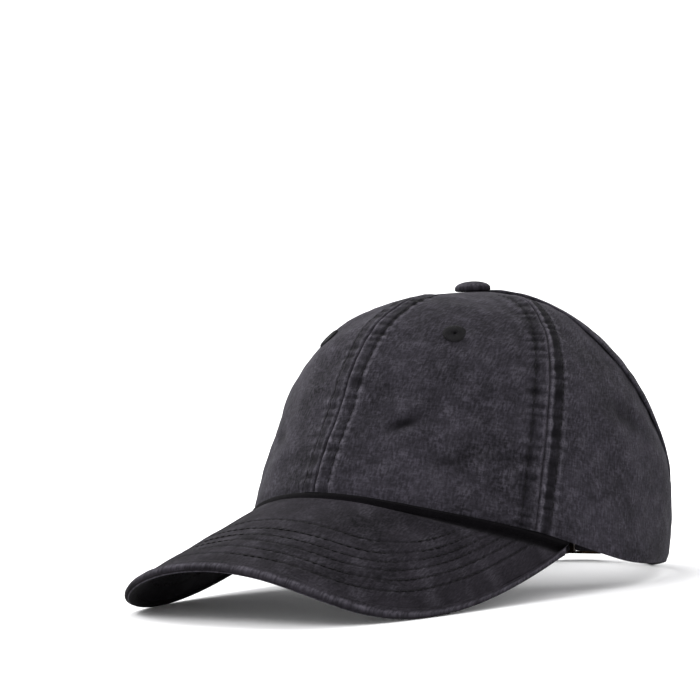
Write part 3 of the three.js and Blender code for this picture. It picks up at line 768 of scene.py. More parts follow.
def opening_binding():
    section = binding_section()
    sides = np.linspace(-1, 1, BINDING_STATIONS)
    side, share = np.meshgrid(sides, section[:, 0], indexing="ij")
    past = np.broadcast_to(section[:, 1], side.shape)
    height = np.broadcast_to(section[:, 2], side.shape)
    width = binding_width(side)
    pressed = lerp(1, 0.3, smoothstep(np.abs(side), 0.88, 0.99))
    inward = share * width - past * pressed
    height = np.where(height > 0, height * pressed, (height + WALL) * pressed - WALL)
    across, back = beside_opening(side, inward)
    route = crown_surface(*beside_opening(sides, 0 * sides))
    along = np.broadcast_to(arc_length(route)[:, None], side.shape)
    outside = smoothstep(np.broadcast_to(section[:, 2], side.shape), 0.4, 1.1)
    from_border = width - inward
    pucker = puckers(along, BINDING_SEED)
    slow = puckers(along / 2.3, BINDING_SEED + 1)
    gathered = smoothstep(from_border, 0.5, 2.5) * (1 - smoothstep(from_border, 3, 8))
    groove = bump(from_border - BINDING_STITCH_INSET, 0.5)
    wave = 0.2 * pucker * gathered + 0.1 * slow
    relief = outside * (wave - BINDING_GROOVE * groove + 0.22 * bump(from_border - 0.8, 0.7))
    relief = relief * pressed
    points = crown_surface(across, back)
    points = points + crown_directions(across, back)[2] * (height + relief)[..., None]
    wear = outside * (0.9 * bump(from_border - 0.8, 0.8) * (0.75 + 0.25 * pucker))
    wear += outside * 0.3 * np.clip(slow, 0, 1) + 0.45 * bump(inward - 0.4, 1.6) * (0.6 + 0.4 * slow)
    # Painted shade in the stitch groove and the troughs of the slow waves, and on the fold's inner side.
    shade = outside * (0.5 * groove + 0.4 * np.clip(-slow, 0, 1)) + 0.25 * (1 - outside)
    uv = np.stack([along, inward + height], axis=-1)
    band = swept_band("opening_binding_cloth", points, uv, np.clip(wear, 0, 1), np.clip(shade, 0, 1))
    smooth(band)
    return band, sides


binding, binding_sides = opening_binding()
finish_piece(binding, "washed_twill", "opening_binding")


def binding_stitches():
    sides = binding_sides[6:-6]
    across, back = beside_opening(sides, binding_width(sides) - BINDING_STITCH_INSET)
    normal = crown_directions(across, back)[2]
    route = crown_surface(across, back) + normal * (SEWING_GAP + BINDING_THICKNESS - 0.2)
    return stitched_row(route, normal)


# %% [markdown]
# The stitch lines lie beside each crown seam, through the seam allowances, and along the binding.

# %% Stitches of the crown
crown_rows = [binding_stitches()]
for seam_side in (-1, 1):
    crown_rows.append(crown_stitches(lambda downs: 0 * downs, seam_side * STITCH_OFFSET))
    for row_side in (-1, 1):
        fanned = lambda downs, turn=seam_side: turn * seam_bearing(downs)
        crown_rows.append(crown_stitches(fanned, row_side * STITCH_OFFSET * 1.05))
thread_piece("crown_stitches", crown_rows)

# %% [markdown]
# The button is a pressed metal form covered with the cap's cloth, held by a rivet and a washer
# inside. The cover is a ball that is flattened below, and the cloth gathers slightly at its rim.

# %% Covered button
BUTTON_RADIUS = 7.6
BUTTON_HEIGHT = 4.2
BUTTON_RIM = 0.3
RIVET_RADIUS = 1.5
WASHER_RADIUS = 4.5
BUTTON_FOLDS = {"many": 11, "few": 7}
BUTTON_GATHER = 0.003
BUTTON_SPREAD = {"dome": 0.95, "foot": 0.35}


def covered_button():
    deselect()
    bpy.ops.mesh.primitive_uv_sphere_add(segments=88, ring_count=40, radius=1)
    button = bpy.context.object
    name_piece(button, "top_button_cover")
    draw = np.random.default_rng(77).uniform(0, TURN, 3)
    places = np.array([vertex.co[:] for vertex in button.data.vertices])
    angle = np.arctan2(places[:, 1], places[:, 0])
    level = np.hypot(places[:, 0], places[:, 1])
    rim = BUTTON_HEIGHT * BUTTON_RIM
    rise = np.abs(places[:, 2])
    dome = rim + (BUTTON_HEIGHT - rim) * rise
    foot = lerp(rim, -SEWING_GAP, rise ** BUTTON_SPREAD["foot"])
    height = np.where(places[:, 2] > 0, dome, foot)
    folds = np.sin(BUTTON_FOLDS["many"] * angle + draw[0])
    folds = folds + 0.6 * np.sin(BUTTON_FOLDS["few"] * angle + draw[1])
    gather = BUTTON_GATHER * folds * smoothstep(level, 0.75, 0.98)
    power = np.where(places[:, 2] > 0, BUTTON_SPREAD["dome"], BUTTON_SPREAD["foot"])
    spread = BUTTON_RADIUS * level ** power * (1 + gather)
    points = np.stack([spread * np.cos(angle), spread * np.sin(angle), height], axis=-1)
    points += [0, BUTTON_SETBACK, CROWN_HEIGHT + SEWING_GAP]
    button.data.vertices.foreach_set("co", to_row(points).astype(np.float32).ravel())
    wear = button.data.attributes.new("wear", "FLOAT", "POINT")
    rubbed = 0.35 * smoothstep(level, 0.55, 0.9) * (1 - smoothstep(level, 0.93, 1.0)) * (places[:, 2] > 0)
    wear.data.foreach_set("value", rubbed.astype(np.float32))
    # Painted shade: the cover darkens towards its foot, where it meets the crown.
    shade = button.data.attributes.new("shade", "FLOAT", "POINT")
    shade.data.foreach_set("value", smoothstep(-height, -1.4, -0.2).astype(np.float32) * 0.5)
    uv = button.data.uv_layers[0]
    uv.name = "cloth"
    corners = np.empty(len(button.data.loops), dtype=np.int32)
    button.data.loops.foreach_get("vertex_index", corners)
    uv.data.foreach_set("uv", (points[corners][:, :2] * MM).astype(np.float32).ravel())
    smooth(button)
    return button


def turned_disc(name, radius, low, high, soft):
    """A flat round piece of metal with rounded edges, on the button's axis."""
    deselect()
    bpy.ops.mesh.primitive_cylinder_add(vertices=40, radius=radius * MM, depth=(high - low) * MM)
    disc = bpy.context.object
    name_piece(disc, name)
    disc.location = to_row([0, BUTTON_SETBACK, (low + high) / 2])
    bpy.ops.object.transform_apply(location=True, rotation=True, scale=True)
    bevel = disc.modifiers.new("soft edge", "BEVEL")
    bevel.width = soft * MM
    bevel.segments = 3
    bpy.ops.object.modifier_apply(modifier=bevel.name)
    smooth(disc, 40)
    return disc


button = covered_button()
finish_piece(button, "washed_twill", "top_button")
inside = CROWN_HEIGHT - WALL - SEWING_GAP
washer = turned_disc("button_washer", WASHER_RADIUS, inside - 1, inside, 0.3)
finish_piece(washer, "antique_brass")
rivet = turned_disc("button_rivet", RIVET_RADIUS, inside - 1.4, CROWN_HEIGHT + 1, 0.2)
finish_piece(rivet, "antique_brass")

# %% [markdown]
# An eyelet is a small hole whose edge is whipped all round with thread. It is swept as a flat ring
# that follows the crown, with a ridge for each turn of the thread.

# %% Eyelets
WHIP_TURNS = 36
RING_STATIONS = 216


def ring_on_crown(side, radii, heights, ridge):
    """A closed ring round the eyelet's middle, from a section of radii and heights."""
    across, back, _ = eyelet_centre(side)
    side_way, back_way, normal = crown_directions(across, back)
    level = unit(side_way)
    upright = np.cross(normal, level)
    angle = np.linspace(0, TURN, RING_STATIONS + 1)[:, None]
    thread = ridge * np.abs(np.cos(angle * WHIP_TURNS / 2)) ** 0.7
    middle_radius, middle_height = radii.mean(), heights.mean()
    grow = 1 + thread
    radius = middle_radius + (radii - middle_radius) * grow
    height = middle_height + (heights - middle_height) * grow
    tangent = radius[..., None] * (np.cos(angle)[..., None] * level + np.sin(angle)[..., None] * upright)
    shift = chart_shift(tangent, side_way, back_way)
    place = across + shift[0], back + shift[1]
    return crown_surface(*place) + crown_directions(*place)[2] * height[..., None], angle, radius


def eyelet(side, name):
    section = np.linspace(0, TURN, 19)[:-1]
    hole = EYELET_HOLE * THREAD_HOLE_SHARE
    middle = (hole + EYELET_RADIUS) / 2
    out = np.sign(np.cos(section)) * np.abs(np.cos(section)) ** 0.6
    up = np.sign(np.sin(section)) * np.abs(np.sin(section)) ** 0.5
    radii = middle + (EYELET_RADIUS - hole) / 2 * 0.96 * out
    heights = -WALL / 2 + (WALL / 2 + EYELET_RISE + 0.12 * out) * up
    points, angle, radius = ring_on_crown(side, radii, heights, 0.1)
    uv = np.stack([angle * middle + 0 * radius, radius], axis=-1)
    ring = swept_band(name, points, uv)
    smooth(ring, 70)
    return ring


for eyelet_side, label in ((1, "left"), (-1, "right")):
    ring = eyelet(eyelet_side, f"eyelet_{label}_thread")
    finish_piece(ring, "eyelet_thread", f"eyelet_{label}")

# %% [markdown]
# The brim is a stiff board in cloth. It is ruled from the crown's lower edge to an outer edge that
# dips at both sides, and rows of stitching follow the outer edge and sink into the cloth. A lip
# under the crown's edge leads up to it, and in front of the lip the cloth dips, with a shadow painted
# into the dip.

# %% Brim
BRIM_ANGLE = math.radians(67.5)
BRIM_LENGTH = 64.2
BRIM_THICKNESS = 2.2
BRIM_TIP_HEIGHT = 21.6
BRIM_TIP_HANDLE = 66.5
BRIM_SIDE_WIDTH = 70.8
BRIM_SHOULDER = 12.9
BRIM_DIP = 44.4
BRIM_END = 0.985
HEM_WIDTH = 4.5
STITCH_ROWS = [11.8, 18.2, 24.4, 30, 36, 44]
BRIM_STATIONS = 240
JOIN_DIP = 1.6
JOIN_LIP = 0.8
JOIN_REACH = {"front": 4.0, "side": 9.0}
BRIM_GROOVE = 0.34
THREAD_SINK = 0.22
UNDER_SHADE = 0.45
BRIM_HALF = BRIM_THICKNESS / 2


def brim_inner(u):
    place = chart(u * BRIM_ANGLE, 1.0)
    point = crown_surface(*place) - crown_directions(*place)[2] * WALL
    point[..., 2] -= SEWING_GAP + BRIM_HALF
    return point


brim_corner = crown_surface(*chart(BRIM_ANGLE, 1.0))


def brim_outer(u):
    t = np.abs(u)
    tip = -FRONT_REACH - BRIM_LENGTH
    across = np.sign(u) * bezier(0, BRIM_TIP_HANDLE, BRIM_SIDE_WIDTH, brim_corner[0], t)
    forward = bezier(tip, tip, tip + BRIM_SHOULDER, brim_corner[1], t)
    end = brim_corner[2] - SEWING_GAP - BRIM_HALF
    height = bezier(BRIM_TIP_HEIGHT, BRIM_TIP_HEIGHT, BRIM_TIP_HEIGHT - BRIM_DIP, end, t)
    return np.stack([across, forward, height], axis=-1)


def on_brim(u, v):
    return lerp(brim_inner(u), brim_outer(u), v[..., None])


def brim_frame(u, v):
    """Points of the brim's middle layer, their upward normals and the way out to the edge."""
    along = unit(on_brim(np.minimum(u + SMALL_STEP, 1), v) - on_brim(np.maximum(u - SMALL_STEP, -1), v))
    out = brim_outer(u) - brim_inner(u)
    normal = unit(np.cross(along, out))
    normal = normal * np.where(normal[..., 2:] < 0, -1, 1)
    outward = unit(np.cross(normal, along))
    outward = outward * np.where((outward * out).sum(-1, keepdims=True) < 0, -1, 1)
    return on_brim(u, v), normal, outward


brim_shares = BRIM_END * np.sin(np.linspace(-math.pi / 2, math.pi / 2, BRIM_STATIONS))
brim_edge = brim_outer(brim_shares)
brim_along = arc_length(brim_edge)
brim_depth = np.linalg.norm(brim_edge - brim_inner(brim_shares), axis=1)
edge_way = unit(brim_outer(brim_shares + 5e-3) - brim_outer(brim_shares - 5e-3))
ruling_way = unit(brim_edge - brim_inner(brim_shares))
brim_square = brim_depth * np.linalg.norm(np.cross(edge_way, ruling_way), axis=1)
print("brim edge", round(brim_along[-1]), "mm long, brim", round(brim_depth.max()), "mm deep")


def brim_relief(from_edge, along):
    height = 0 * from_edge
    wear = 0 * from_edge
    shade = 0 * from_edge
    for number, row in enumerate(STITCH_ROWS):
        pucker = puckers(along * 1.3, 60 + number)
        near = bump(from_edge - row, 2.0)
        height = height - BRIM_GROOVE * bump(from_edge - row, 0.55) + 0.14 * pucker * near
        wear = wear + 0.3 * near * np.clip(pucker, 0, 1)
        # Painted shade along each stitch groove.
        shade = shade + 0.8 * bump(from_edge - row, 0.6)
    return height, wear, shade


def brim_board():
    top = np.linspace(0, 1, 104)
    rows = [(v, BRIM_HALF) for v in top] + [(v, -BRIM_HALF) for v in top[::-2]]
    section = np.array(rows)
    u, share = np.meshgrid(brim_shares, section[:, 0], indexing="ij")
    face = np.broadcast_to(section[:, 1], u.shape)
    end = np.maximum(1 - (HEM_WIDTH - 0.5) / brim_depth, 0.08)[:, None]
    v = share * end
    along = np.broadcast_to(brim_along[:, None], u.shape)
    from_edge = (1 - v) * brim_square[:, None]
    relief, wear, shade = brim_relief(from_edge, along)
    points, normal, _ = brim_frame(u, v)
    soft = 0.16 * ripple(points, 30, 81) * smoothstep(v, 0.02, 0.15) * (1 - smoothstep(share, 0.93, 1))
    inside = smoothstep(share, 0.0, 0.04) * (1 - smoothstep(share, 0.97, 1))
    join_reach = lerp(JOIN_REACH["front"], JOIN_REACH["side"], smoothstep(np.abs(u), 0.1, 0.7))
    from_crown = v * brim_depth[:, None]
    join_dip_and_shadow = 1 - smoothstep(from_crown, 0.4 * join_reach, join_reach)
    lip = 1 - smoothstep(from_crown, WALL, 2 * WALL)
    dip = lerp(JOIN_DIP * join_dip_and_shadow, -JOIN_LIP, lip)
    height = face + np.sign(face) * relief * inside + soft - dip * (face > 0)
    points = points + normal * height[..., None]
    under = face < 0
    wear = np.where(under, 0, wear * inside + 0.1 * np.clip(ripple(points, 14, 82), 0, 2))
    # Painted shadow in the dip beside the crown, and painted shade over the whole under side.
    shade = np.where(under, UNDER_SHADE, np.maximum(shade * inside, join_dip_and_shadow))
    uv = np.stack([along, (1 - v) * brim_depth[:, None]], axis=-1)
    board = swept_band("brim_cloth", points, uv, np.clip(wear, 0, 1), np.clip(shade, 0, 1))
    keep_off_floor(board)
    smooth(board)
    return board


board = brim_board()
finish_piece(board, "brim_twill", "brim")


def brim_stitches():
    rows = []
    shares = np.linspace(-0.97, 0.97, 900)
    square = np.interp(shares, brim_shares, brim_square)
    for row in STITCH_ROWS:
        v = 1 - row / square
        depth = np.interp(shares, brim_shares, brim_depth)
        inside = np.where(v * depth > JOIN_REACH["side"])[0]
        points, normal, _ = brim_frame(shares[inside], v[inside])
        for face in (1, -1):
            route = points + normal * face * (BRIM_HALF - THREAD_SINK)
            rows.append(stitched_row(route, normal * face))
    return rows


thread_piece("brim_stitches", brim_stitches())

# %% [markdown]
# The brim's cloth is turned over its outer edge in a narrow roll. Rubbing has worn the roll's crest
# pale, and a groove below it parts it from the fold on the under side.

# %% Rolled hem of the brim
HEM_SECTION = [
    {"along": -4.3, "height": 0.7},
    {"along": -4.2, "height": 1.2},
    {"along": -3.6, "height": 1.62},
    {"along": -2.6, "height": 1.78},
    {"along": -1.5, "height": 1.76},
    {"along": -0.5, "height": 1.58},
    {"along": 0.3, "height": 1.2},
    {"along": 0.85, "height": 0.7},
    {"along": 1.05, "height": 0.1},
    {"along": 0.85, "height": -0.35},
    {"along": 0.35, "height": -0.62},
    {"along": 0.55, "height": -0.95},
    {"along": 0.5, "height": -1.35},
    {"along": 0.0, "height": -1.66},
    {"along": -1.2, "height": -1.85},
    {"along": -2.6, "height": -1.85},
    {"along": -3.6, "height": -1.68},
    {"along": -4.2, "height": -1.3},
    {"along": -4.3, "height": -0.8},
]


def rounded_loop(values, times):
    """Points between the rows of a closed section, on a smooth curve through them."""
    values = np.asarray(values, dtype=float)
    out = []
    for i in range(len(values)):
        a, b, c, d = (values[(i + k) % len(values)] for k in (-1, 0, 1, 2))
        for step in range(times):
            t = step / times
            out.append(0.5 * (2 * b + (c - a) * t + (2 * a - 5 * b + 4 * c - d) * t * t
                              + (3 * b - a - 3 * c + d) * t ** 3))
    return np.array(out)


def brim_hem():
    section = rounded_loop([[row["along"], row["height"]] for row in HEM_SECTION], 2)
    u, past = np.meshgrid(brim_shares, section[:, 0], indexing="ij")
    height = np.broadcast_to(section[:, 1], u.shape)
    along = np.broadcast_to(brim_along[:, None], u.shape)
    depth = brim_depth[:, None]
    point, normal, outward = brim_frame(u, np.maximum(1 + np.minimum(past, 0) / depth, 0.02))
    upper = smoothstep(height, 0.2, 1.0)
    slow = puckers(along / 2.1, 91)
    relief = upper * (0.012 * puckers(along, 90) + 0.05 * slow)
    point = point + outward * np.maximum(past, 0)[..., None] + normal * (height + relief)[..., None]
    crest = upper * bump(past + 0.4, 1.0) * (0.75 + 0.25 * slow)
    lower = 0.5 * bump(height + 1.2, 0.35) * smoothstep(past, -0.2, 0.3)
    wear = np.clip(0.85 * crest + lower, 0, 1)
    # Painted shade in the groove below the crest, over the under side, and in the crease at the hem's
    # inner end.
    shade = np.clip(0.9 * bump(height + 0.55, 0.3) * smoothstep(past, -0.5, 0.2)
                    + (height < -1.4) + 0.5 * bump(past + 4.3, 0.4), 0, 1)
    uv = np.stack([along, past + height], axis=-1)
    hem = swept_band("brim_hem_cloth", point, uv, wear, shade)
    keep_off_floor(hem)
    smooth(hem)
    return hem


hem = brim_hem()
finish_piece(hem, "brim_twill", "brim_hem")

# %% [markdown]
# The strap is folded cloth, standing on edge. The long end comes from one tab, passes over the
# middle bar of the buckle and folds back inside, and the short end is looped round the buckle's
# hidden bar. Each is swept along its route on the ring that lies inside the two tabs.

# %% Strap
STRAP_HEIGHT = 18.5
STRAP_THICKNESS = 1.6
STRAP_LIFT = 4.2
STRAP_OVERLAP = 13
BUCKLE_OFFSET = -5
BUCKLE_WIDTH = 19
BAR_THICKNESS = 2
DOUBLE_BAR_WIDTH = 5.4
HANGER_RADIUS = 0.8
STRAP_STITCH_LINE = 3.0

tab_lean = float(plan_radius(TAB_ANGLE) - crown_radius(TAB_ANGLE, TAB_TOP))
ring_inset = WALL + BINDING_THICKNESS + 2 * SEWING_GAP + STRAP_THICKNESS / 2 + tab_lean
RING_ACROSS = HALF_WIDTH - ring_inset
RING_BACK = REAR_REACH - ring_inset


def ring_point(along, outwards):
    angle = 0.0
    count = 48
    for _ in range(count):
        pace = math.hypot(RING_ACROSS * math.cos(angle), RING_BACK * math.sin(angle))
        angle += along / count / pace
    normal = np.array([math.sin(angle) / RING_ACROSS, math.cos(angle) / RING_BACK])
    normal /= np.linalg.norm(normal)
    return np.array([RING_ACROSS * math.sin(angle), RING_BACK * math.cos(angle)]) + normal * outwards


tab_foot = crown_surface(*chart(TAB_ANGLE, 1.0))
tab_along = 0.0
while ring_point(tab_along, 0)[0] < tab_foot[0]:
    tab_along += 0.25

frame_back = STRAP_THICKNESS / 2 + SEWING_GAP
frame_middle = frame_back + BAR_THICKNESS / 2
wrap = BAR_THICKNESS / 2 + SEWING_GAP + STRAP_THICKNESS / 2
outer_bar = BUCKLE_OFFSET + BUCKLE_WIDTH / 2 - BAR_THICKNESS / 2
inner_bar = BUCKLE_OFFSET - BUCKLE_WIDTH / 2 + DOUBLE_BAR_WIDTH / 2
middle_bar = BUCKLE_OFFSET - BAR_THICKNESS / 4
hanger_bar = inner_bar - DOUBLE_BAR_WIDTH / 8
hanger_back = -STRAP_THICKNESS / 2 - SEWING_GAP - HANGER_RADIUS
return_back = -STRAP_THICKNESS - SEWING_GAP


def long_route():
    over = frame_middle + wrap
    under = frame_middle - wrap
    return [
        (tab_along + STRAP_OVERLAP, 0),
        (tab_along, 0),
        (lerp(tab_along, outer_bar, 0.5), 0),
        (outer_bar + BAR_THICKNESS, 0),
        (outer_bar - BAR_THICKNESS * 0.5, 0.2),
        (lerp(outer_bar, middle_bar, 0.5), over * 0.8),
        (middle_bar + wrap * 0.3, over),
        (middle_bar - wrap * 0.75, frame_middle + wrap * 0.66),
        (middle_bar - wrap, frame_middle),
        (middle_bar - wrap * 0.75, frame_middle - wrap * 0.66),
        (middle_bar + wrap * 0.2, under - SEWING_GAP),
        (lerp(outer_bar, middle_bar, 0.55), return_back),
        (outer_bar, return_back),
        (outer_bar + STRAP_OVERLAP, return_back),
    ]


def short_route():
    turn = HANGER_RADIUS + SEWING_GAP + STRAP_THICKNESS / 2
    back = hanger_back - turn
    return [
        (-tab_along - STRAP_OVERLAP, 0),
        (-tab_along, 0),
        (lerp(-tab_along, hanger_bar, 0.6), 0),
        (hanger_bar, 0),
        (hanger_bar + turn * 0.75, hanger_back + turn * 0.66),
        (hanger_bar + turn, hanger_back),
        (hanger_bar + turn * 0.75, hanger_back - turn * 0.66),
        (hanger_bar, back),
        (hanger_bar - STRAP_THICKNESS * 3, lerp(back, return_back, 0.6)),
        (hanger_bar - STRAP_THICKNESS * 6, return_back),
        (hanger_bar - STRAP_THICKNESS * 8, return_back),
    ]


def smooth_route(route, count):
    """Evenly spaced points on a centripetal curve through a route of ring places."""
    knots = np.array([ring_point(along, outwards) for along, outwards in route])
    knots = np.concatenate([[2 * knots[0] - knots[1]], knots, [2 * knots[-1] - knots[-2]]])
    fine = []
    for i in range(1, len(knots) - 2):
        a, b, c, d = knots[i - 1:i + 3]
        before, middle, after = (math.sqrt(np.linalg.norm(q - p)) for p, q in ((a, b), (b, c), (c, d)))
        leave = ((b - a) / before - (c - a) / (before + middle) + (c - b) / middle) * middle
        arrive = ((c - b) / middle - (d - b) / (middle + after) + (d - c) / after) * middle
        for t in np.linspace(0, 1, 40, endpoint=False):
            fine.append((2 * t ** 3 - 3 * t * t + 1) * b + (t ** 3 - 2 * t * t + t) * leave
                        + (3 * t * t - 2 * t ** 3) * c + (t ** 3 - t * t) * arrive)
    fine = np.array(fine + [knots[-2]])
    along = arc_length(fine)
    where = np.linspace(0, along[-1], count)
    return np.stack([np.interp(where, along, fine[:, k]) for k in (0, 1)], axis=1), where


def strap_section():
    """(thickness, height) round a strap with rounded top and bottom folds."""
    half = STRAP_THICKNESS / 2
    straight = np.linspace(half, STRAP_HEIGHT - half, 24)
    rows = [(half, z) for z in straight]
    turns = np.linspace(0.4, 2.74, 5)
    rows += [(half * math.cos(a), STRAP_HEIGHT - half + half * math.sin(a)) for a in turns]
    rows += [(-half, z) for z in straight[::-1]]
    rows += [(-half * math.cos(a), half - half * math.sin(a)) for a in turns]
    return np.array(rows)


def strap(name, route, stations, seed):
    line, along = smooth_route(route, stations)
    way = unit(np.gradient(line, axis=0))
    aside = np.stack([-way[:, 1], way[:, 0]], axis=1)
    section = strap_section()
    thick = np.broadcast_to(section[:, 0], (stations, len(section)))
    height = np.broadcast_to(section[:, 1], thick.shape)
    run = np.broadcast_to(along[:, None], thick.shape)
    near_edge = np.minimum(height, STRAP_HEIGHT - height)
    half = STRAP_THICKNESS / 2
    soft = 0.1 * puckers(run / 1.7, seed) + 0.05 * puckers(run + height * 2, seed + 1)
    fold = 0.14 * bump(near_edge - 1.5, 1.1) - 0.2 * bump(near_edge - STRAP_STITCH_LINE, 0.5)
    grow = 1 + (soft * 0.5 + fold) / half
    place = line[:, None, :] + aside[:, None, :] * (thick * grow)[..., None]
    points = np.concatenate([place, (STRAP_LIFT + height)[..., None]], axis=-1)
    crest = bump(near_edge - 0.9, 1.0) * (0.7 + 0.3 * puckers(run / 2, seed + 2))
    # The folds are worn pale, and the top fold also carries a painted highlight where the light falls on
    # it.
    wear = np.clip(0.6 * crest * (height > STRAP_HEIGHT / 2) + 0.2 * crest, 0, 1)
    # Painted shade along the stitch line's groove.
    shade = np.clip(0.7 * bump(near_edge - STRAP_STITCH_LINE, 0.5), 0, 1)
    uv = np.stack([run, height], axis=-1)
    band = swept_band(name, points, uv, wear, shade)
    smooth(band)
    return band


long_strap = strap("strap_long_cloth", long_route(), 190, 101)
finish_piece(long_strap, "strap_twill", "strap_long")
short_strap = strap("strap_short_cloth", short_route(), 150, 111)
finish_piece(short_strap, "strap_twill", "strap_short")

# %% [markdown]
# The slide buckle keeps its CAD shape, which is the real one: an outer bar, a middle bar and a
# double bar joined by two rails. A Weld joins its loose triangles and a Bevel rounds the edges, as
# tumbling does to a cast buckle.

# %% Buckle
BUCKLE_EDGE = 0.35
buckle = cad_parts["strap_buckle"]
weld = buckle.modifiers.new("joined", "WELD")
weld.merge_threshold = 1e-5
rounded = buckle.modifiers.new("tumbled edges", "BEVEL")
rounded.width = BUCKLE_EDGE * MM
rounded.segments = 3
rounded.limit_method = "ANGLE"
rounded.angle_limit = math.radians(40)
rounded.harden_normals = False
report(buckle)


# %% [markdown]
# Colours are written as they look on a screen and turned linear by one function. One more function
# adds a node with its settings and links, so that each finish reads as a short recipe.

# %% Material tools
def linear(hex_colour):
    """A screen colour such as "3b393f" as linear red, green, blue and alpha."""
    channels = [int(hex_colour[i:i + 2], 16) / 255 for i in (0, 2, 4)]
    return [c / 12.92 if c <= 0.04045 else ((c + 0.055) / 1.055) ** 2.4 for c in channels] + [1]


def add_node(tree, kind, inputs=None, **settings):
    node = tree.nodes.new(kind)
    for name, value in settings.items():
        setattr(node, name, value)
    for socket, value in (inputs or {}).items():
        if isinstance(value, bpy.types.NodeSocket):
            tree.links.new(value, node.inputs[socket])
        else:
            node.inputs[socket].default_value = value
    return node


def new_material(name):
    material = bpy.data.materials.new(name)
    material.use_nodes = True
    tree = material.node_tree
    shader = tree.nodes["Principled BSDF"]
    return material, tree, shader


def per(size_mm):
    """How many times a pattern of that size fits in a metre."""
    return 1 / (size_mm * MM)


def between(tree, value, low, high):
    """A value stretched so that low becomes 0 and high becomes 1."""
    inputs = {"Value": value, "From Min": low, "From Max": high}
    return add_node(tree, "ShaderNodeMapRange", inputs, clamp=True).outputs["Result"]


def calculate(tree, operation, a, b, clamp=False):
    node = add_node(tree, "ShaderNodeMath", {0: a, 1: b}, operation=operation, use_clamp=clamp)
    return node.outputs[0]


def mixed(tree, factor, a, b):
    node = add_node(tree, "ShaderNodeMix", {0: factor, 6: a, 7: b}, data_type="RGBA")
    return node.outputs[2]


def noise(tree, coordinates, scale, detail, roughness=0.55):
    inputs = {"Vector": coordinates, "Scale": scale, "Detail": detail, "Roughness": roughness}
    return add_node(tree, "ShaderNodeTexNoise", inputs).outputs["Fac"]


# %% [markdown]
# Washed black cotton twill: yarn with dark dye over a pale core, tumbled until the yarn's high spots
# lose their dye. Close up that gives short pale flecks down the warp, soft cloudy patches, worn ridges
# beside the seams and more dye left in the seam bands, and shade is painted into every groove. Cotton
# is matt, with a little fuzz that catches light at the outline, so the shader has high roughness and some
# sheen.

# %% Twill
TWILL_PITCH = 1.1
FLECK = {"across": 0.9, "along": 2.6}
MOTTLE_SIZE = 5
CLOUD_SIZE = 24
TWILL_RELIEF = 0.1


def washed_twill(name, cloth, faded, dye_and_shade, rubbed, fleck=0.75, cloud=0.35, worn=0.9, fuzz=0.02):
    """The real diagonal rib is about half a millimetre. It is drawn twice as coarse, to show."""
    material, tree, shader = new_material(name)
    cloth_map = add_node(tree, "ShaderNodeUVMap", uv_map="cloth").outputs["UV"]
    place = add_node(tree, "ShaderNodeTexCoord").outputs["Object"]
    wear = add_node(tree, "ShaderNodeAttribute", attribute_name="wear").outputs["Fac"]
    shade = add_node(tree, "ShaderNodeAttribute", attribute_name="shade").outputs["Fac"]

    warp = add_node(tree, "ShaderNodeMapping", {
        "Vector": cloth_map,
        "Scale": (per(FLECK["across"]), per(FLECK["along"]), 1),
    }).outputs["Vector"]
    weft = add_node(tree, "ShaderNodeMapping", {
        "Vector": cloth_map,
        "Scale": (per(FLECK["along"]), per(FLECK["across"] * 0.9), 1),
    }).outputs["Vector"]
    warp_flecks = noise(tree, warp, 1, 2, 0.6)
    weft_flecks = noise(tree, weft, 1, 2, 0.6)
    grain = calculate(tree, "ADD", warp_flecks, calculate(tree, "MULTIPLY", weft_flecks, 0.6))
    grain = between(tree, grain, 0.66, 0.98)
    mottle = between(tree, noise(tree, place, per(MOTTLE_SIZE), 3), 0.35, 0.7)
    clouds = between(tree, noise(tree, place, per(CLOUD_SIZE), 2), 0.3, 0.7)

    patches = calculate(tree, "ADD", calculate(tree, "MULTIPLY", mottle, 0.6), 0.4)
    pale = calculate(tree, "MULTIPLY", calculate(tree, "MULTIPLY", grain, fleck), patches)
    pale = calculate(tree, "ADD", pale, calculate(tree, "MULTIPLY", clouds, cloud))
    colour = mixed(tree, pale, linear(cloth), linear(faded))
    threads = calculate(tree, "ADD", calculate(tree, "MULTIPLY", grain, 0.8), 0.35)
    threads = calculate(tree, "MULTIPLY", calculate(tree, "MULTIPLY", wear, threads), worn, clamp=True)
    colour = mixed(tree, threads, colour, linear(rubbed))
    # The shade attribute darkens towards the darkest colour: more dye in the seam bands, and painted shade
    # in grooves, creases, the dip beside the crown and on under sides.
    colour = mixed(tree, calculate(tree, "MULTIPLY", shade, 0.95, clamp=True), colour, linear(dye_and_shade))

    ribs = add_node(tree, "ShaderNodeMapping", {"Vector": cloth_map, "Rotation": (0, 0, math.radians(52))})
    wave = add_node(tree, "ShaderNodeTexWave", {
        "Vector": ribs.outputs["Vector"], "Scale": per(TWILL_PITCH) * TURN / 20, "Distortion": 0.6,
        "Detail": 1, "Detail Scale": 1.5,
    }).outputs["Fac"]
    surface = calculate(tree, "ADD", calculate(tree, "MULTIPLY", wave, 0.5), grain)
    depth = TWILL_RELIEF * MM
    bumps = add_node(tree, "ShaderNodeBump", {"Height": surface, "Strength": 0.7, "Distance": depth})
    tree.links.new(colour, shader.inputs["Base Color"])
    tree.links.new(bumps.outputs["Normal"], shader.inputs["Normal"])
    shader.inputs["Roughness"].default_value = 0.92
    shader.inputs["IOR"].default_value = 1.45
    shader.inputs["Specular IOR Level"].default_value = 0.06
    shader.inputs["Sheen Weight"].default_value = fuzz
    shader.inputs["Sheen Roughness"].default_value = 0.5
    return material


crown_twill = washed_twill("washed cotton twill", "151417", "403d45", "0b0a0d", "57545c")
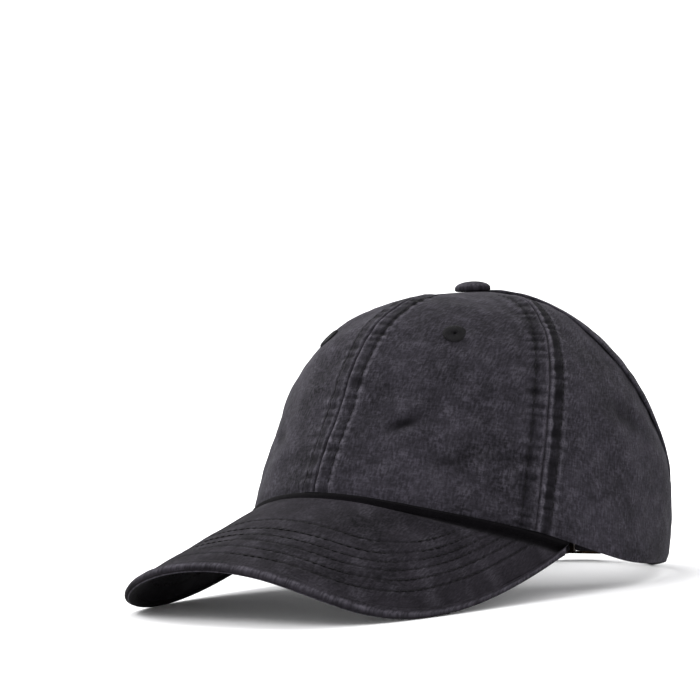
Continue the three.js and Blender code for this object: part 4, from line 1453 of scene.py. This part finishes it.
# The inner side is the less worn reverse of the cloth, and it is also painted darker as shade, since the
# inside of the crown lies in shade.
inner_twill_in_painted_shade = washed_twill(
    "inner side of cotton twill in painted shade", "0b0a0d", "141217", "070609", "141217", fleck=0.25, worn=0.15, fuzz=0.01
)
brim_twill = washed_twill(
    "brim cotton twill", "0c0b0e", "2e2b31", "060507", "56535b", fleck=0.7, cloud=0.5, fuzz=0.01
)
strap_twill = washed_twill(
    "strap cotton twill", "0c0b0d", "2a272c", "060507", "4a474e", fleck=0.3, cloud=0.2, fuzz=0.01
)


# %% [markdown]
# Stitching thread is black spun polyester. It is smoother than the cloth, so it has a dull shine,
# and a fine wave along it stands for the twist of its strands.

# %% Thread
THREAD_TWIST = 0.5


def spun_thread():
    material, tree, shader = new_material("black spun thread")
    place = add_node(tree, "ShaderNodeTexCoord").outputs["Object"]
    tint = between(tree, noise(tree, place, per(2.5), 2), 0.35, 0.7)
    strands = add_node(tree, "ShaderNodeTexWave", {
        "Vector": place, "Scale": per(THREAD_TWIST) * TURN / 20, "Distortion": 1.0, "Detail": 1,
    }, bands_direction="DIAGONAL").outputs["Fac"]
    bumps = add_node(tree, "ShaderNodeBump", {"Height": strands, "Strength": 0.5, "Distance": 0.08 * MM})
    tree.links.new(mixed(tree, tint, linear("09080a"), linear("121114")), shader.inputs["Base Color"])
    tree.links.new(bumps.outputs["Normal"], shader.inputs["Normal"])
    shader.inputs["Roughness"].default_value = 0.75
    shader.inputs["IOR"].default_value = 1.5
    shader.inputs["Specular IOR Level"].default_value = 0.15
    return material


# %% [markdown]
# Antique brass: cast, tumbled and darkened by a chemical bath. The dark brown layer is patchy, and
# the metal shows through a little where it has been rubbed.

# %% Brass
def antique_brass():
    material, tree, shader = new_material("antique brass")
    place = add_node(tree, "ShaderNodeTexCoord").outputs["Object"]
    patches = between(tree, noise(tree, place, per(2.2), 4, 0.65), 0.42, 0.72)
    fine = noise(tree, place, per(0.35), 2)
    colour = mixed(tree, patches, linear("1d1611"), linear("433220"))
    rough = calculate(tree, "ADD", calculate(tree, "MULTIPLY", fine, 0.25), 0.36)
    bumps = add_node(tree, "ShaderNodeBump", {"Height": fine, "Strength": 0.3, "Distance": 0.04 * MM})
    tree.links.new(colour, shader.inputs["Base Color"])
    tree.links.new(rough, shader.inputs["Roughness"])
    tree.links.new(bumps.outputs["Normal"], shader.inputs["Normal"])
    shader.inputs["Metallic"].default_value = 1.0
    return material


thread = spun_thread()
brass = antique_brass()
FINISHES = {
    "washed_twill": [crown_twill, inner_twill_in_painted_shade],
    "brim_twill": [brim_twill],
    "strap_twill": [strap_twill],
    "eyelet_thread": [thread],
    "antique_brass": [brass],
}
PIECE_FINISH = {
    "front_panel": "washed_twill", "side_panel": "washed_twill", "opening_binding": "washed_twill",
    "top_button": "washed_twill", "brim_cloth": "brim_twill", "brim_hem": "brim_twill",
    "strap_long": "strap_twill", "strap_short": "strap_twill", "button_": "antique_brass",
}


def finish_of(obj):
    for start, slot in PIECE_FINISH.items():
        if obj.name.startswith(start):
            return slot
    return "eyelet_thread"


def dress(obj, materials):
    obj.data.materials.clear()
    for material in materials:
        obj.data.materials.append(material)


for piece in pieces:
    sides = np.empty(len(piece.data.polygons), dtype=np.int32)
    piece.data.polygons.foreach_get("material_index", sides)
    dress(piece, FINISHES[finish_of(piece)][: sides.max() + 1])
    piece.data.polygons.foreach_set("material_index", sides)
for slot in buckle.material_slots:
    slot.material = brass
print("finished", len(pieces), "pieces")

# %% [markdown]
# The cap stands on a pale floor that curves up behind it, as in a photographer's studio.

# %% Floor
FLOOR = {"front": -3.0, "back": 3.5, "half_width": 5.0, "curve": 1.5, "height": 4.0}


def studio_sweep():
    profile = [(FLOOR["front"], 0.0), (FLOOR["back"] - FLOOR["curve"], 0.0)]
    for angle in np.linspace(0, math.pi / 2, 16)[1:]:
        profile.append((FLOOR["back"] - FLOOR["curve"] * (1 - math.sin(angle)),
                        FLOOR["curve"] * (1 - math.cos(angle))))
    profile.append((FLOOR["back"], FLOOR["height"]))
    deselect()
    bpy.ops.mesh.primitive_grid_add(x_subdivisions=1, y_subdivisions=len(profile) - 1, size=1)
    sweep = bpy.context.object
    name_piece(sweep, "studio_floor")
    points = [(side * FLOOR["half_width"], y, z) for y, z in profile for side in (-1, 1)]
    sweep.data.vertices.foreach_set("co", np.array(points, dtype=np.float32).ravel())
    sweep.data.update()
    smooth(sweep, 40)
    return sweep


floor = studio_sweep()
CAMERA_AZIMUTH = math.radians(37.55)
floor.data.transform(Matrix.Rotation(CAMERA_AZIMUTH, 4, "Z"))
paper, _, paper_shader = new_material("white studio paper")
paper_shader.inputs["Base Color"].default_value = linear("f7f7f8")
paper_shader.inputs["Roughness"].default_value = 0.95
paper_shader.inputs["Specular IOR Level"].default_value = 0.1
dress(floor, [paper])

# %% [markdown]
# The camera stands where the photograph was taken: to the wearer's left of the brim and only a
# little above it. A point of the crown is known to lie at a pixel of the picture, so the camera
# is turned until its own axis misses that point by the same angle.

# %% Camera
CAMERA_ELEVATION = math.radians(3.0)
CAMERA_ROLL = math.radians(-2.5)
CAMERA_DISTANCE = 1.2
PIXELS_PER_MM = 2.365
PICTURE = 700
SENSOR_WIDTH = 36
AIM = Vector((0, ROW_SHIFT * MM, 0.055))
AIM_PIXEL = (462.6, 451.0)

forward = Vector((
    -math.sin(CAMERA_AZIMUTH) * math.cos(CAMERA_ELEVATION),
    math.cos(CAMERA_AZIMUTH) * math.cos(CAMERA_ELEVATION),
    -math.sin(CAMERA_ELEVATION),
))
right = Vector((math.cos(CAMERA_AZIMUTH), math.sin(CAMERA_AZIMUTH), 0))
upward = right.cross(forward)
rolled_right = right * math.cos(CAMERA_ROLL) + upward * math.sin(CAMERA_ROLL)
rolled_up = upward * math.cos(CAMERA_ROLL) - right * math.sin(CAMERA_ROLL)
focal_pixels = PIXELS_PER_MM * CAMERA_DISTANCE / MM
aim_right = (AIM_PIXEL[0] - PICTURE / 2) / focal_pixels
aim_down = (AIM_PIXEL[1] - PICTURE / 2) / focal_pixels

camera_data = bpy.data.cameras.new("photo camera")
camera = bpy.data.objects.new("photo camera", camera_data)
scene.collection.objects.link(camera)
axes = Matrix((rolled_right, rolled_up, -forward)).transposed()
turned = Vector((0, 0, -1)).rotation_difference(Vector((aim_right, -aim_down, -1)))
camera.matrix_world = (
    Matrix.Translation(AIM - forward * CAMERA_DISTANCE)
    @ (axes @ turned.to_matrix().inverted()).to_4x4()
)
camera_data.sensor_width = SENSOR_WIDTH
camera_data.lens = SENSOR_WIDTH * focal_pixels / PICTURE
camera_data.clip_start = 0.05
camera_data.clip_end = 50
scene.camera = camera
print("camera lens", round(camera_data.lens, 1), "mm at", [round(v, 3) for v in camera.location])


# %% [markdown]
# One large soft light stands high to the camera's left. A second one behind the cap on that side
# draws the thin bright line along its outline, a third whitens the paper behind, and the white
# surroundings fill the shadows.

# %% Lights
def soft_light(name, across, up, toward, size, watts, aim=AIM):
    """An area light placed from the camera's side: across to the right, up, and toward it."""
    data = bpy.data.lights.new(name, "AREA")
    data.shape = "SQUARE"
    data.size = size
    data.energy = watts
    light = bpy.data.objects.new(name, data)
    scene.collection.objects.link(light)
    level_forward = Vector((forward.x, forward.y, 0)).normalized()
    light.location = AIM + right * across + Vector((0, 0, up)) - level_forward * toward
    light.rotation_mode = "QUATERNION"
    light.rotation_quaternion = (aim - light.location).to_track_quat("-Z", "Y")


soft_light("key light", across=-1.0, up=1.5, toward=0.9, size=1.0, watts=13)
soft_light("edge light", across=-1.1, up=0.9, toward=-0.9, size=0.6, watts=16)
backdrop = AIM + Vector((forward.x, forward.y, 0)) * 3 + Vector((0, 0, 0.4))
soft_light("backdrop light", across=0, up=2.0, toward=-0.8, size=1.5, watts=60, aim=backdrop)
world = bpy.data.worlds.new("white studio")
scene.world = world
world.use_nodes = True
world.node_tree.nodes["Background"].inputs["Color"].default_value = linear("ffffff")
world.node_tree.nodes["Background"].inputs["Strength"].default_value = 1.0
scene.view_settings.view_transform = "Standard"
